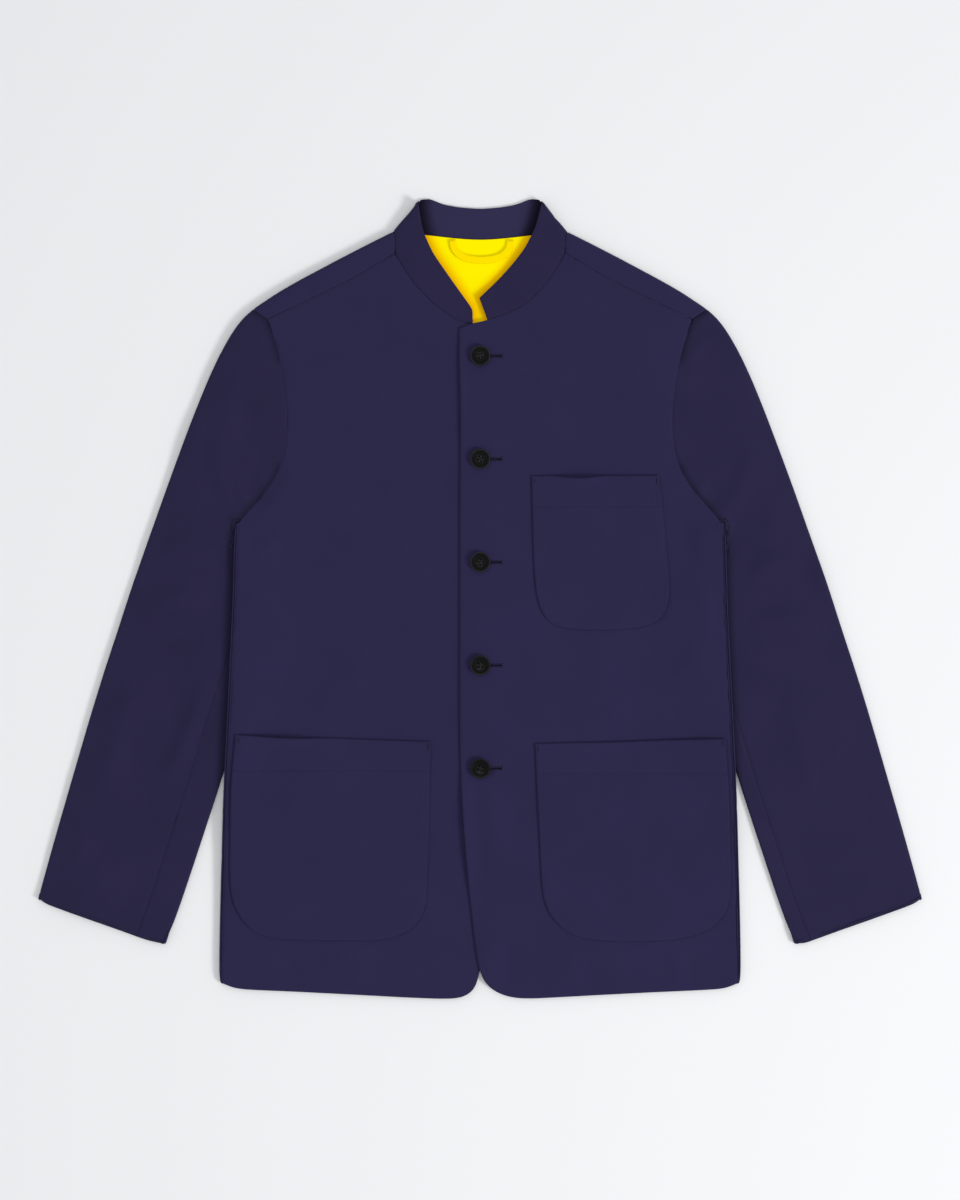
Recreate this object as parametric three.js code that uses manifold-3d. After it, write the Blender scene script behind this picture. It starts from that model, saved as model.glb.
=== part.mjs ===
// A tailored jacket with a stand collar, buttoned and laid flat on its back. Millimetres, +Z up.
// X runs across the jacket from the centre front, Y up to the collar, and Z = 0 is the surface it lies on.
// Right and left are the wearer's: the left front lies over the right one, on the side of +X.
// Every cloth piece is built from its outer face, and its thickness is taken inwards.
import * as THREE from "three";
import { mergeVertices } from "three/addons/utils/BufferGeometryUtils.js";
import Module from "manifold-3d";

// Thickness of each cloth with what is fused to it
const BACK_CLOTH = 1.5;
const FRONT_CLOTH = 2.0;
const SLEEVE_CLOTH = 1.5;
const LINING_CLOTH = 1.0;
const LOOP_CLOTH = 1.3;
const COLLAR_CLOTH = 2.0;
const POCKET_CLOTH = 1.5;
const SEAM_GAP = 0.3;

// Heights of the layers above the surface
const LINING_TOP = BACK_CLOTH + SEAM_GAP + LINING_CLOTH;
const BODY_HEIGHT = LINING_TOP + SEAM_GAP + FRONT_CLOTH;
const OVERLAP_RISE = FRONT_CLOTH + SEAM_GAP;
const PLACKET_TOP = BODY_HEIGHT + OVERLAP_RISE;
const SHOULDER_HEIGHT = 7.4;
const COLLAR_RISE = 2.0;
const SLEEVE_HEIGHT = 5.0;
const SLEEVE_CROWN = 1.3;
const TUCK_RISE = SLEEVE_HEIGHT + 0.7;

// The fronts lift off the back towards the shoulders, from here up the body and from here out to the side
const SHOULDER_RISE_FROM_Y = 150;
const SHOULDER_RISE_LENGTH = 130;
const SHOULDER_RISE_FROM_X = 24;
const SHOULDER_RISE_WIDTH = 60;
// The left front comes down over this width beside the edge that it covers
const OVERLAP_MARGIN = 4;
const OVERLAP_SLOPE = 16;
// The body comes down over this width beside the sleeve that lies under it
const TUCK_MARGIN = 6;
const TUCK_SLOPE = 30;

// Buttons and their holes
const BUTTON_COUNT = 5;
const BUTTON_X = 0.3;
const TOP_BUTTON_Y = 244;
const BUTTON_PITCH = 103.1;
const BUTTON_RADIUS = 10;
const BUTTON_HEIGHT = 3.8;
const BUTTON_SIDES = 18;
const THREAD_HOLE_RADIUS = 1.0;
const THREAD_HOLE_OFFSET = 1.9;
const SHANK_RADIUS = 1.2;
// The button's outline from its back to its face: in from the rim, and up from the back
const BUTTON_OUTLINE = table("inset up", [
  [2.4, 0],
  [0.4, 0.9],
  [0, 2.2],
  [0.7, BUTTON_HEIGHT - 0.35],
  [1.9, BUTTON_HEIGHT],
  [3.4, BUTTON_HEIGHT - 0.9],
  [BUTTON_RADIUS, BUTTON_HEIGHT - 0.9],
]);
const BUTTONHOLE_END_X = 21.5;
const BUTTONHOLE_WIDTH = 1.2;
const EYELET_RADIUS = 1.9;

// How finely a half turn of a fold is stepped
const FOLD_STEPS = 6;
// How fast the shape of a panel's top and bottom edges fades towards its middle
const EDGE_FADE = 3;

// Makes rows with named columns out of a short table.
function table(columns, rows) {
  const names = columns.split(" ");
  return rows.map((row) => Object.fromEntries(names.map((name, i) => [name, row[i]])));
}

// Body side, from the hem up to the underarm: half width of the body at each height
const SIDE = table("y half", [
  [-384, 259.6],
  [-374, 260.9],
  [-350, 260.8],
  [-306, 260],
  [-256, 258.4],
  [-208, 257],
  [-160, 255],
  [-114, 252.6],
  [-70, 250.5],
  [-32, 248.6],
  [2, 247.1],
  [31, 246.3],
  [54, 246],
  [77, 244.2],
]);

// Armhole seams, from just above the underarm to the shoulder seam and to the shoulder fold
const FRONT_ARMHOLE = table("x y", [
  [238.5, 80.5],
  [224, 97.5],
  [207.5, 116.5],
  [196, 141],
  [191.4, 174],
  [194, 211],
  [202, 252],
  [212.5, 280.5],
]);
const BACK_ARMHOLE = table("x y", [
  [238.5, 80.5],
  [226, 97],
  [213, 117],
  [205.5, 143],
  [203, 174],
  [204.5, 209],
  [212, 248],
]);

// Shoulder: the fold on the outline, and the seam that lies forward of it
const SHOULDER_FOLD = table("x y", [
  [87.5, 368.5],
  [119.5, 352.5],
  [159.5, 331.5],
  [199.5, 309.5],
  [226.5, 291.5],
]);
const SHOULDER_SEAM = table("x y", [
  [85.2, 346.8],
  [104, 335.5],
  [128, 320.8],
  [157, 307],
  [187, 292.5],
  [212.5, 280.5],
]);
const SHOULDER_SHARES = [0, 0.175, 0.35, 0.526, 0.684, 0.807, 0.912, 1];

// Necklines from the front corner to the shoulder seam, one row for each column of the front's mesh
const LEFT_NECK = table("x y", [
  [-20.5, 271.5],
  [-7.5, 277.5],
  [7.5, 279.5],
  [28.8, 287],
  [46, 296],
  [62, 311],
  [75.5, 329],
  [85.2, 346.8],
]);
const RIGHT_NECK = table("x y", [
  [-10, 273],
  [-2, 275.7],
  [7, 276],
  [22, 278.5],
  [42, 291.8],
  [60.8, 309.5],
  [74.5, 327.5],
  [85.2, 346.8],
]);
const COLLAR_FROM_COLUMN = 2;
const BACK_NECK = table("x y", [
  [0, 360.2],
  [22, 361.6],
  [44, 364.2],
  [66, 366.6],
]);

// Front edges: how far each front reaches past the centre, and its hem
const LEFT_EDGE = table("y x", [
  [-385.3, 7],
  [-376.3, 0.4],
  [-344, -5.5],
  [-311.5, -9],
  [-273.5, -12.5],
  [-235, -16.8],
  [-173, -19.5],
  [-140, -20.5],
  [119, -20.2],
  [195, -19.1],
  [247.5, -21.5],
  [260, -23.3],
  [271.5, -20.5],
]);
const RIGHT_EDGE = table("y x", [
  [-389.5, 5.5],
  [-378, 1],
  [-344, -5],
  [-311.5, -9],
  [-273.5, -12.5],
  [-235, -16.5],
  [-200, -18],
  [255, -18],
  [273, -10],
]);
const LEFT_HEM = table("x y", [
  [7, -385.3],
  [16, -392.5],
  [27, -397],
  [41.5, -399.2],
  [70, -398.2],
  [120, -395.5],
  [180, -392.5],
  [240, -389.5],
  [252, -387.8],
  [257.05, -384],
]);
const RIGHT_HEM = table("x y", [
  [5.5, -389.5],
  [10.5, -394.5],
  [17, -397.6],
  [26, -399.2],
  [60, -398.6],
  [120, -395.5],
  [180, -392.5],
  [240, -389.5],
  [252, -387.8],
  [257.05, -384],
]);
// The back's hem lies a little higher at its middle, so that it doesn't show between the fronts' corners
const BACK_HEM = table("x y", [
  [0, -371],
  [30, -372.5],
  [60, -376],
  [120, -382],
  [180, -385],
  [240, -385.3],
  [257.05, -384],
]);
// Columns of the panels' meshes: shares of their width up to the neck's end, before those of the shoulder
const FRONT_SHARES = [0, 0.04, 0.08, 0.13, 0.19, 0.26, 0.34, 0.43];
const BACK_SHARES = [0, 0.1, 0.2, 0.3, 0.39];

// Sleeve, a row for each section from the armhole to the cuff: where its outer and inner folds show, how high
// the inner fold's underside and each fold's upper side lie, and how much it keeps of the armhole's curve
const SLEEVE = table("outerX outerY innerX innerY low innerTop outerTop bend", [
  [242.5, 277.5, 244.6, 77.9, 2.4, 7.5, 7.2, 0.8],
  [262, 244.5, 246.7, 74.2, 2, 7, 6.9, 0.55],
  [281, 200, 247.3, 69.5, 1.2, 6.3, 6.5, 0.33],
  [298, 155, 247.1, 63.5, 0.4, 5.5, 6.1, 0.17],
  [313, 114.5, 245.2, 56.5, 0, 5.1, 5.8, 0.07],
  [325.5, 79, 241, 47, 0, 5, 5.5, 0.02],
  [331, 63.5, 231, 28, 0, 5, 5.3, 0],
  [338, 43.5, 220, 3, 0, 5, 5.1, 0],
  [345.5, 22.5, 213, -25, 0, 5, 5, 0],
  [355, -6, 217.5, -55, 0, 5, 5, 0],
  [364.8, -37, 229, -86, 0, 5, 5, 0],
  [377, -73, 241.5, -122, 0, 5, 5, 0],
  [393.3, -126.5, 257, -175, 0, 5, 5, 0],
  [409.3, -182, 275, -230, 0, 5, 5, 0],
  [423, -229, 290.5, -277, 0, 5, 5, 0],
  [435.3, -273, 305, -320, 0, 5, 5, 0],
  [442.3, -299, 315.4, -344, 0, 5, 5, 0],
  [443, -301.6, 316.3, -346.7, 0, 5, 5, 0],
]);
const CUFF_CORNER_RADIUS = 8;
// Rows of the sleeve's table that lie under the body
const FIRST_TUCKED = 3;
const LAST_TUCKED = 14;
// The upper side is crowned over this share of its width, and the underside lifts over the last of these
const CROWN_SHARE = 0.62;
const INNER_LIFT_SHARE = 0.2;
// How much sooner the armhole's curve fades on the inner fold's side
const BEND_FADE = 3;
// The forearm seams start beside the inner fold and move out to these shares of the sleeve's width
const SEAM_START_SHARE = 0.985;
const FOREARM_SHARE = { right: 0.79, left: 0.9 };
const SEAM_MOVES_FROM_ROW = 4;
const SEAM_MOVES_OVER_ROWS = 4;
const SEAM_TO_FOLD_STEPS = 2;
// Where they start, the cloth bends so sharply that its two edges need more room
const SEAM_START_GAP = 0.8;
const SEAM_START_ROWS = 6;
const ELBOW_SEAM_COLUMN = 2;

// Collar: its fold at the side of the neck, the upper edges of its two wings, and its upper edge at the back
const COLLAR_FOLD = table("x y", [
  [87.5, 368.5],
  [79.5, 378],
  [69, 389.7],
  [63.3, 398.4],
]);
// At its upper edge the collar's fold faces the side, and its front is pressed this close to it
const COLLAR_EAR_FACING = new THREE.Vector3(1, 0.1, 0).normalize();
const COLLAR_EAR_REACH = 1.5;
const LEFT_WING_EDGE = table("x y", [
  [-0.8, 302],
  [11.2, 313.5],
  [20.5, 322.8],
  [33.8, 337.5],
  [43.2, 349.5],
  [52.5, 364.8],
  [56.5, 377],
]);
const RIGHT_WING_EDGE = table("x y", [
  [7.3, 291],
  [19.5, 308],
  [33, 327],
  [43, 341.5],
  [50, 352],
  [56, 365],
  [58.5, 378],
]);
const BACK_COLLAR_EDGE = table("x y", [
  [0, 390.7],
  [20, 392.2],
  [38, 395.3],
  [50.5, 398.7],
]);
const COLLAR_ROWS = 4;
// The collar's front end slants: along the upper edge it starts this share of the way from the side fold
const WING_EDGE_SHARE = 0.96;

// Lining and hanger loop
const LINING_LOW_Y = 250;
const LINING_LOW_HALF = 92;
const LINING_ROWS = 6;
const LOOP_WIDTH = 7;
const LOOP_STEPS = 18;
const LOOP_LINE = table("x y", [
  [-27.5, 360.4],
  [-26, 351.5],
  [-18.5, 344],
  [-9, 341],
  [1.5, 340.1],
  [12, 341],
  [22, 344.2],
  [29, 351.5],
  [30.5, 360.2],
]);

// Pockets: each side from its lower corner up, and the bottom edge between the lower corners
const POCKETS = [
  {
    name: "pocket_chest",
    front: "left",
    left: table("x y", [
      [64.5, -17.2],
      [59.2, -6.5],
      [55.8, 8.2],
      [54.1, 29.5],
      [53, 60],
      [51.5, 124.2],
    ]),
    right: table("x y", [
      [182, -18],
      [187.8, -7.5],
      [189.5, 5],
      [189.2, 22.8],
      [186.5, 60],
      [179.5, 124.8],
    ]),
    bottom: table("x y", [
      [64.5, -17.2],
      [73.5, -25.2],
      [84.5, -28.8],
      [105.5, -30.2],
      [135, -30.2],
      [155, -28.5],
      [171.2, -25],
      [182, -18],
    ]),
    gape: { x: 99, half: 30, rise: 2.2, length: 28 },
  },
  {
    name: "pocket_right",
    front: "right",
    left: table("x y", [
      [-240.5, -317],
      [-247, -305],
      [-250, -290],
      [-250, -235],
      [-248.5, -178],
      [-244, -134.5],
    ]),
    right: table("x y", [
      [-58, -318.5],
      [-54.5, -311.5],
      [-52.8, -290],
      [-50.8, -240],
      [-50, -195],
      [-49, -141.5],
    ]),
    bottom: table("x y", [
      [-240.5, -317],
      [-229, -331],
      [-214, -338],
      [-190, -340.3],
      [-150, -340.6],
      [-93.5, -340.3],
      [-73, -333.5],
      [-58, -318.5],
    ]),
    gape: { x: -195, half: 32, rise: 1.2, length: 24 },
  },
  {
    name: "pocket_left",
    front: "left",
    left: table("x y", [
      [70, -315.5],
      [65, -306],
      [62.3, -290],
      [59.4, -240],
      [57, -195],
      [55, -143.5],
    ]),
    right: table("x y", [
      [243.5, -318],
      [249.5, -306],
      [251.5, -290],
      [250.5, -235],
      [248.5, -180],
      [245.5, -138.4],
    ]),
    bottom: table("x y", [
      [70, -315.5],
      [83.5, -330.5],
      [101, -339.3],
      [134, -341.3],
      [175, -341.4],
      [212.5, -337.4],
      [230, -330],
      [243.5, -318],
    ]),
    gape: { x: 190, half: 32, rise: 0.8, length: 24 },
  },
];
const POCKET_ROWS = 9;
// Rows lie closer together at the round lower corners
const POCKET_ROW_SPREAD = 1.15;
const POCKET_SHARES = [0, 0.06, 0.16, 0.3, 0.45, 0.6, 0.74, 0.86, 0.94, 1];
const CORNER_SHARES = [0, 0.07, 0.16, 0.28, 0.42, 0.56, 0.7, 0.82, 0.92, 1];
const POCKET_CLEARANCE_REACH = 8;

const NAVY = 0x2b2848;
const NAVY_INSIDE = 0x332f50;
const YELLOW = 0xf5e30a;
const BLACK = 0x101014;

const wasm = await Module();
wasm.setup();

const clamp01 = (t) => Math.min(1, Math.max(0, t));
const ease = (t) => THREE.MathUtils.smoothstep(t, 0, 1);
const mix = THREE.MathUtils.lerp;
const flat = (row) => new THREE.Vector3(row.x, row.y, 0);
const mirrored = (grid) => grid.map((row) => row.map(mirroredPoint).reverse());
const turnedOver = (grid) => grid.map((row) => [...row].reverse());

// A point on the other half of the jacket. A fold's points carry the way in which the cloth faces there.
function mirroredPoint(p) {
  const other = new THREE.Vector3(-p.x, p.y, p.z);
  if (p.facing) other.facing = new THREE.Vector3(-p.facing.x, p.facing.y, p.facing.z);
  return other;
}

// Points along a smooth line through a table's rows, at shares of its length.
function along(rows, shares) {
  const line = new THREE.CatmullRomCurve3(rows.map(flat), false, "centripetal");
  return shares.map((share) => line.getPointAt(share));
}

// Steps from 0 to 1.
const even = (count) => Array.from({ length: count + 1 }, (_, i) => i / count);

// A value read between the rows of a table, by one column.
function between(rows, key, value, want) {
  let i = 1;
  while (i < rows.length - 1 && rows[i][key] < value) i += 1;
  const [a, b] = [rows[i - 1], rows[i]];
  return mix(a[want], b[want], clamp01((value - a[key]) / (b[key] - a[key])));
}

// Shares of the length of a run of points, one for each point.
function sharesOf(points) {
  const lengths = [0];
  for (let i = 1; i < points.length; i++) {
    lengths.push(lengths[i - 1] + points[i].distanceTo(points[i - 1]));
  }
  return lengths.map((length) => length / lengths[lengths.length - 1]);
}

// The points of a run, each moved sideways in plan. A positive distance moves them to the left of its way.
function besides(points, distance) {
  return points.map((p, i) => {
    const [before, after] = [points[Math.max(i - 1, 0)], points[Math.min(i + 1, points.length - 1)]];
    const way = after.clone().sub(before).setZ(0).normalize();
    return p.clone().add(new THREE.Vector3(-way.y, way.x, 0).multiplyScalar(distance));
  });
}

// The bend round a fold: from its lowest point on the surface to its highest one, bulging towards `out`.
// Its upper half may reach less far from the fold's line than a round one does.
function foldArc(edge, out, low, high, steps, { from = 0, to = 1, upperReach } = {}) {
  const radius = (high - low) / 2;
  const points = [];
  for (let i = 0; i <= steps; i++) {
    const angle = -Math.PI / 2 + Math.PI * mix(from, to, i / steps);
    const reach = (Math.cos(angle) - 1) * (angle > 0 ? (upperReach ?? radius) : radius);
    const point = edge.clone().addScaledVector(out, reach).setZ(low + radius + radius * Math.sin(angle));
    point.facing = out.clone().multiplyScalar(Math.cos(angle)).setZ(Math.sin(angle));
    points.push(point);
  }
  return points;
}

// A mesh of points between four edges, given as runs of points that meet at their ends.
function panelGrid(left, right, bottom, top, shares) {
  const last = left.length - 1;
  return left.map((leftPoint, row) => {
    const up = row / last;
    return shares.map((share, column) => {
      const point = leftPoint.clone().lerp(right[row], share);
      const low = bottom[column].clone().sub(bottom[0].clone().lerp(bottom[bottom.length - 1], share));
      const high = top[column].clone().sub(top[0].clone().lerp(top[top.length - 1], share));
      point.addScaledVector(low, (1 - up) ** EDGE_FADE);
      return point.addScaledVector(high, up ** EDGE_FADE);
    });
  });
}

// The two triangles of a mesh's four-sided face, cut along its shorter diagonal.
function halved(a, b, c, d) {
  return a.distanceTo(c) <= b.distanceTo(d) ? [[a, b, c], [a, c, d]] : [[a, b, d], [b, c, d]];
}

// Closed wall of cloth: grids of outer points, welded where they meet, thickened inwards along their normals.
function clothWall(grids, cloth) {
  const points = [];
  const ids = new Map();
  const idOf = (p) => {
    const key = [p.x, p.y, p.z].map((v) => Math.round(v * 1000)).join();
    if (!ids.has(key)) {
      ids.set(key, points.length);
      points.push(p.clone());
    }
    const id = ids.get(key);
    points[id].facing = points[id].facing ?? p.facing;
    return id;
  };
  const faces = [];
  for (const grid of grids) {
    for (let row = 1; row < grid.length; row++) {
      for (let column = 1; column < grid[row].length; column++) {
        const [a, b] = [grid[row - 1][column - 1], grid[row - 1][column]];
        const [c, d] = [grid[row][column], grid[row][column - 1]];
        const halves = halved(a, b, c, d).map((half) => half.map(idOf));
        faces.push(...halves.filter(([i, j, k]) => i !== j && j !== k && k !== i));
      }
    }
  }
  const normals = points.map(() => new THREE.Vector3());
  for (const face of faces) {
    const [p, q, r] = face.map((i) => points[i]);
    const normal = q.clone().sub(p).cross(r.clone().sub(p));
    for (const i of face) normals[i].add(normal);
  }
  const positions = points.flatMap((p) => [p.x, p.y, p.z]);
  points.forEach((p, i) => {
    const inside = p.clone().addScaledVector(p.facing ?? normals[i].normalize(), -cloth);
    positions.push(inside.x, inside.y, inside.z);
  });
  const index = faces.flatMap(([i, j, k]) => [i, j, k]);
  index.push(...faces.flatMap(([i, j, k]) => [i, k, j].map((n) => n + points.length)));
  const used = new Set(faces.flatMap(([i, j, k]) => [`${i} ${j}`, `${j} ${k}`, `${k} ${i}`]));
  for (const edge of used) {
    const [i, j] = edge.split(" ").map(Number);
    if (used.has(`${j} ${i}`)) continue;
    const [inI, inJ] = [i + points.length, j + points.length];
    index.push(i, inJ, j, i, inI, inJ);
  }
  const geometry = new THREE.BufferGeometry();
  geometry.setAttribute("position", new THREE.Float32BufferAttribute(positions, 3));
  return geometry.setIndex(index);
}

// A closed geometry as a solid for cutting, and back again.
function solidOf(geometry) {
  const bare = geometry.clone();
  bare.deleteAttribute("normal");
  bare.deleteAttribute("uv");
  const merged = mergeVertices(bare, 1e-4);
  return new wasm.Manifold(
    new wasm.Mesh({
      numProp: 3,
      vertProperties: new Float32Array(merged.attributes.position.array),
      triVerts: new Uint32Array(merged.index.array),
    }),
  );
}

function geometryOf(solid) {
  const mesh = solid.getMesh();
  const geometry = new THREE.BufferGeometry();
  geometry.setAttribute("position", new THREE.Float32BufferAttribute(mesh.vertProperties, mesh.numProp));
  return geometry.setIndex([...mesh.triVerts]);
}

function clothMaterial(color) {
  return new THREE.MeshStandardMaterial({ color, roughness: 0.9, metalness: 0, side: THREE.DoubleSide });
}

const jacket = new THREE.Group();

function addPiece(name, geometry, material) {
  const mesh = new THREE.Mesh(geometry, material);
  mesh.name = name;
  jacket.add(mesh);
}

const navy = clothMaterial(NAVY);
const navyInside = clothMaterial(NAVY_INSIDE);
const yellow = clothMaterial(YELLOW);
const black = new THREE.MeshStandardMaterial({ color: BLACK, roughness: 0.4, metalness: 0 });

// How far a body lies above the sleeve that is tucked under it, at a point of its own half (x to the side).
const TUCKED_ROWS = SLEEVE.slice(FIRST_TUCKED, LAST_TUCKED + 1);
const TUCKED_EDGE = TUCKED_ROWS.map((row) => flat({ x: row.innerX, y: row.innerY }));

function tuckRise(x, y) {
  const here = new THREE.Vector3(x, y, 0);
  const nearest = new THREE.Vector3();
  let distance = Infinity;
  let covered = false;
  for (let i = 1; i < TUCKED_EDGE.length; i++) {
    const [from, to] = [TUCKED_EDGE[i - 1], TUCKED_EDGE[i]];
    new THREE.Line3(from, to).closestPointToPoint(here, true, nearest);
    distance = Math.min(distance, nearest.distanceTo(here));
    if (y <= from.y && y > to.y) covered = x > mix(from.x, to.x, (from.y - y) / (from.y - to.y));
  }
  const inside = covered ? distance : -distance;
  return TUCK_RISE * ease(1 + (inside + TUCK_MARGIN) / TUCK_SLOPE);
}

function shoulderRise(x, y) {
  const up = ease((y - SHOULDER_RISE_FROM_Y) / SHOULDER_RISE_LENGTH);
  const out = ease((x - SHOULDER_RISE_FROM_X) / SHOULDER_RISE_WIDTH);
  return (SHOULDER_HEIGHT - BODY_HEIGHT) * up * out;
}

// Height of a front's outer face, at a point of its own half.
function frontTop(side, x, y) {
  const height = BODY_HEIGHT + tuckRise(x, y) + shoulderRise(x, y);
  if (side === "right") return height;
  const coveredEdge = -between(RIGHT_EDGE, "y", y, "x") + OVERLAP_MARGIN;
  return height + OVERLAP_RISE * ease(1 - (x - coveredEdge) / OVERLAP_SLOPE);
}

// The run of points up a body's side, in from the outline by the radius of the side fold.
const SIDE_RADIUS = BODY_HEIGHT / 2;
const sideRun = SIDE.map((row) => flat({ x: row.half - SIDE_RADIUS, y: row.y }));

// The points at which the rows start on a panel's other edge, spread as they are on its side.
function startRows(run, lowY, highY, xAt) {
  const [first, last] = [run[0].y, run[run.length - 1].y];
  return run.map((p) => {
    const y = mix(lowY, highY, (p.y - first) / (last - first));
    return flat({ x: xAt(y), y });
  });
}

// The strip of a panel that rolls round the side fold, down or up to the side seam.
function sideFold(part) {
  const seamShare = SEAM_GAP / 2 / (Math.PI * SIDE_RADIUS);
  const [from, to] = part === "front" ? [1, 0.5 + seamShare] : [0, 0.5 - seamShare];
  return SIDE.map((row) => {
    const low = tuckRise(row.half - SIDE_RADIUS, row.y);
    const out = new THREE.Vector3(1, 0, 0);
    const edge = flat({ x: row.half, y: row.y });
    return foldArc(edge, out, low, low + BODY_HEIGHT, FOLD_STEPS / 2, { from, to });
  });
}

// The shares of a panel's columns, from those of its neck on to those of its shoulder.
function withShoulder(shares) {
  const neckEnd = shares[shares.length - 1];
  return [...shares, ...SHOULDER_SHARES.slice(1).map((share) => mix(neckEnd, 1, share))];
}

const shoulderSeam = along(SHOULDER_SEAM, SHOULDER_SHARES);

function frontGrids(side, edge, neck, hem) {
  const right = [...sideRun, ...FRONT_ARMHOLE.map(flat)];
  const lowY = edge[0].y;
  const left = startRows(right, lowY, neck[0].y, (y) => between(edge, "y", y, "x"));
  const shares = withShoulder(FRONT_SHARES);
  const top = [...neck.map(flat), ...shoulderSeam.slice(1)];
  const grid = panelGrid(left, right, along(hem, shares), top, shares);
  for (const row of grid) for (const p of row) p.setZ(frontTop(side, p.x, p.y));
  const grids = [grid, sideFold("front")];
  return side === "left" ? grids : grids.map(mirrored);
}

// The shoulder's fold: points on the outline and the ways in which it bulges there.
const shoulderEdge = along(SHOULDER_FOLD, SHOULDER_SHARES);
const shoulderOut = shoulderEdge.map((p, i) => {
  const before = i ? shoulderEdge[i - 1] : new THREE.Vector3(COLLAR_FOLD[1].x, COLLAR_FOLD[1].y, 0);
  const way = shoulderEdge[Math.min(i + 1, shoulderEdge.length - 1)].clone().sub(before).normalize();
  return new THREE.Vector3(-way.y, way.x, 0);
});
const SHOULDER_RADIUS = SHOULDER_HEIGHT / 2;
const shoulderLow = shoulderEdge.map((p, i) => p.clone().addScaledVector(shoulderOut[i], -SHOULDER_RADIUS));
const ARMHOLE_END = shoulderLow.length - 1;

function backGrids() {
  const right = [...sideRun, ...BACK_ARMHOLE.map(flat), shoulderLow[ARMHOLE_END]];
  const left = startRows(right, BACK_HEM[0].y, BACK_NECK[0].y, () => 0);
  const shares = withShoulder(BACK_SHARES);
  const top = [...BACK_NECK.map(flat), ...shoulderLow];
  const grid = panelGrid(left, right, along(BACK_HEM, shares), top, shares);
  for (const row of grid) for (const p of row) p.setZ(tuckRise(p.x, p.y));
  const seam = besides(shoulderSeam, SEAM_GAP);
  const wrap = shoulderEdge.map((p, i) => {
    const arc = foldArc(p, shoulderOut[i], 0, SHOULDER_HEIGHT, FOLD_STEPS);
    const end = seam[i].clone().setZ(SHOULDER_HEIGHT);
    return [...arc, arc[FOLD_STEPS].clone().lerp(end, 0.5), end];
  });
  const half = [turnedOver(grid), wrap, turnedOver(sideFold("back"))];
  return [...half, ...half.map(mirrored)];
}

// A sleeve's sections, in its own half. Each is a run round the sleeve: from the elbow seam under it, over
// the outer fold, down the upper side to the inner fold and back along the underside.
const sleeveTopRun = [shoulderLow[ARMHOLE_END], ...FRONT_ARMHOLE.map(flat).reverse()];
const sleeveBottomRun = [shoulderLow[ARMHOLE_END], ...BACK_ARMHOLE.map(flat).reverse()];
const SLEEVE_TOP_SHARES = sharesOf(sleeveTopRun);
const SLEEVE_BOTTOM_SHARES = sharesOf(sleeveBottomRun);

// How a run's points differ from a straight line between its ends.
function bends(run, shares) {
  return run.map((p, i) => p.clone().sub(run[0].clone().lerp(run[run.length - 1], shares[i])));
}
const topBends = bends(sleeveTopRun, SLEEVE_TOP_SHARES);
const bottomBends = bends(sleeveBottomRun, SLEEVE_BOTTOM_SHARES);

function sleeveFolds(row, i) {
  const [above, below] = [SLEEVE[Math.max(i - 1, 0)], SLEEVE[Math.min(i + 1, SLEEVE.length - 1)]];
  const outerWay = new THREE.Vector3(below.outerX - above.outerX, below.outerY - above.outerY, 0).normalize();
  const innerWay = new THREE.Vector3(below.innerX - above.innerX, below.innerY - above.innerY, 0).normalize();
  return {
    outer: flat({ x: row.outerX, y: row.outerY }),
    inner: flat({ x: row.innerX, y: row.innerY }),
    outerOut: new THREE.Vector3(-outerWay.y, outerWay.x, 0),
    innerOut: new THREE.Vector3(innerWay.y, -innerWay.x, 0),
  };
}

function crown(share, row) {
  const visible = clamp01(share / CROWN_SHARE);
  return SLEEVE_CROWN * (1 - row.bend) * Math.sin(Math.PI * visible) ** 2;
}

// Where a section's forearm seam lies, as a share of the sleeve's width.
function seamShare(side, i) {
  const moved = ease((i + 1 - SEAM_MOVES_FROM_ROW) / SEAM_MOVES_OVER_ROWS);
  return mix(SEAM_START_SHARE, FOREARM_SHARE[side], moved);
}

function sleeveSection(side, row, i) {
  const { outer, inner, outerOut, innerOut } = sleeveFolds(row, i);
  const outerRadius = row.outerTop / 2;
  const innerRadius = (row.innerTop - row.low) / 2;
  const outerEnd = outer.clone().addScaledVector(outerOut, -outerRadius);
  const innerEnd = inner.clone().addScaledVector(innerOut, -innerRadius);
  const straight = (shares, run, deviations, heightAt) =>
    shares.map((share, k) => {
      const kept = row.bend ** (1 + BEND_FADE * share ** 2);
      const p = outerEnd.clone().lerp(innerEnd, share).addScaledVector(deviations[k], kept);
      return p.setZ(heightAt(share, run[k]));
    });
  const seamHeight = (p) => frontTop("left", p.x, p.y);
  const ends = [seamHeight(sleeveTopRun[0]), seamHeight(sleeveTopRun[sleeveTopRun.length - 1])];
  const topHeight = (share, seam) => {
    const bulge = seamHeight(seam) - mix(ends[0], ends[1], share);
    return mix(row.outerTop, row.innerTop, share) + row.bend * bulge + crown(share, row);
  };
  const seam = seamShare(side, i);
  const topShares = SLEEVE_TOP_SHARES.map((share) => share * seam);
  const top = straight(topShares, sleeveTopRun, topBends, topHeight);
  const onward = even(SEAM_TO_FOLD_STEPS).slice(1).map((step) => {
    const share = mix(seam, 1, step);
    const height = mix(row.outerTop, row.innerTop, share) + crown(share, row);
    return outerEnd.clone().lerp(innerEnd, share).setZ(height);
  });
  const bottom = straight(SLEEVE_BOTTOM_SHARES, sleeveBottomRun, bottomBends, (share) => {
    return row.low * ease((share - 1 + INNER_LIFT_SHARE) / INNER_LIFT_SHARE);
  });
  return {
    top,
    onward,
    bottom,
    outerArc: foldArc(outer, outerOut, 0, row.outerTop, FOLD_STEPS),
    innerArc: foldArc(inner, innerOut, row.low, row.innerTop, FOLD_STEPS).reverse(),
  };
}

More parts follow.
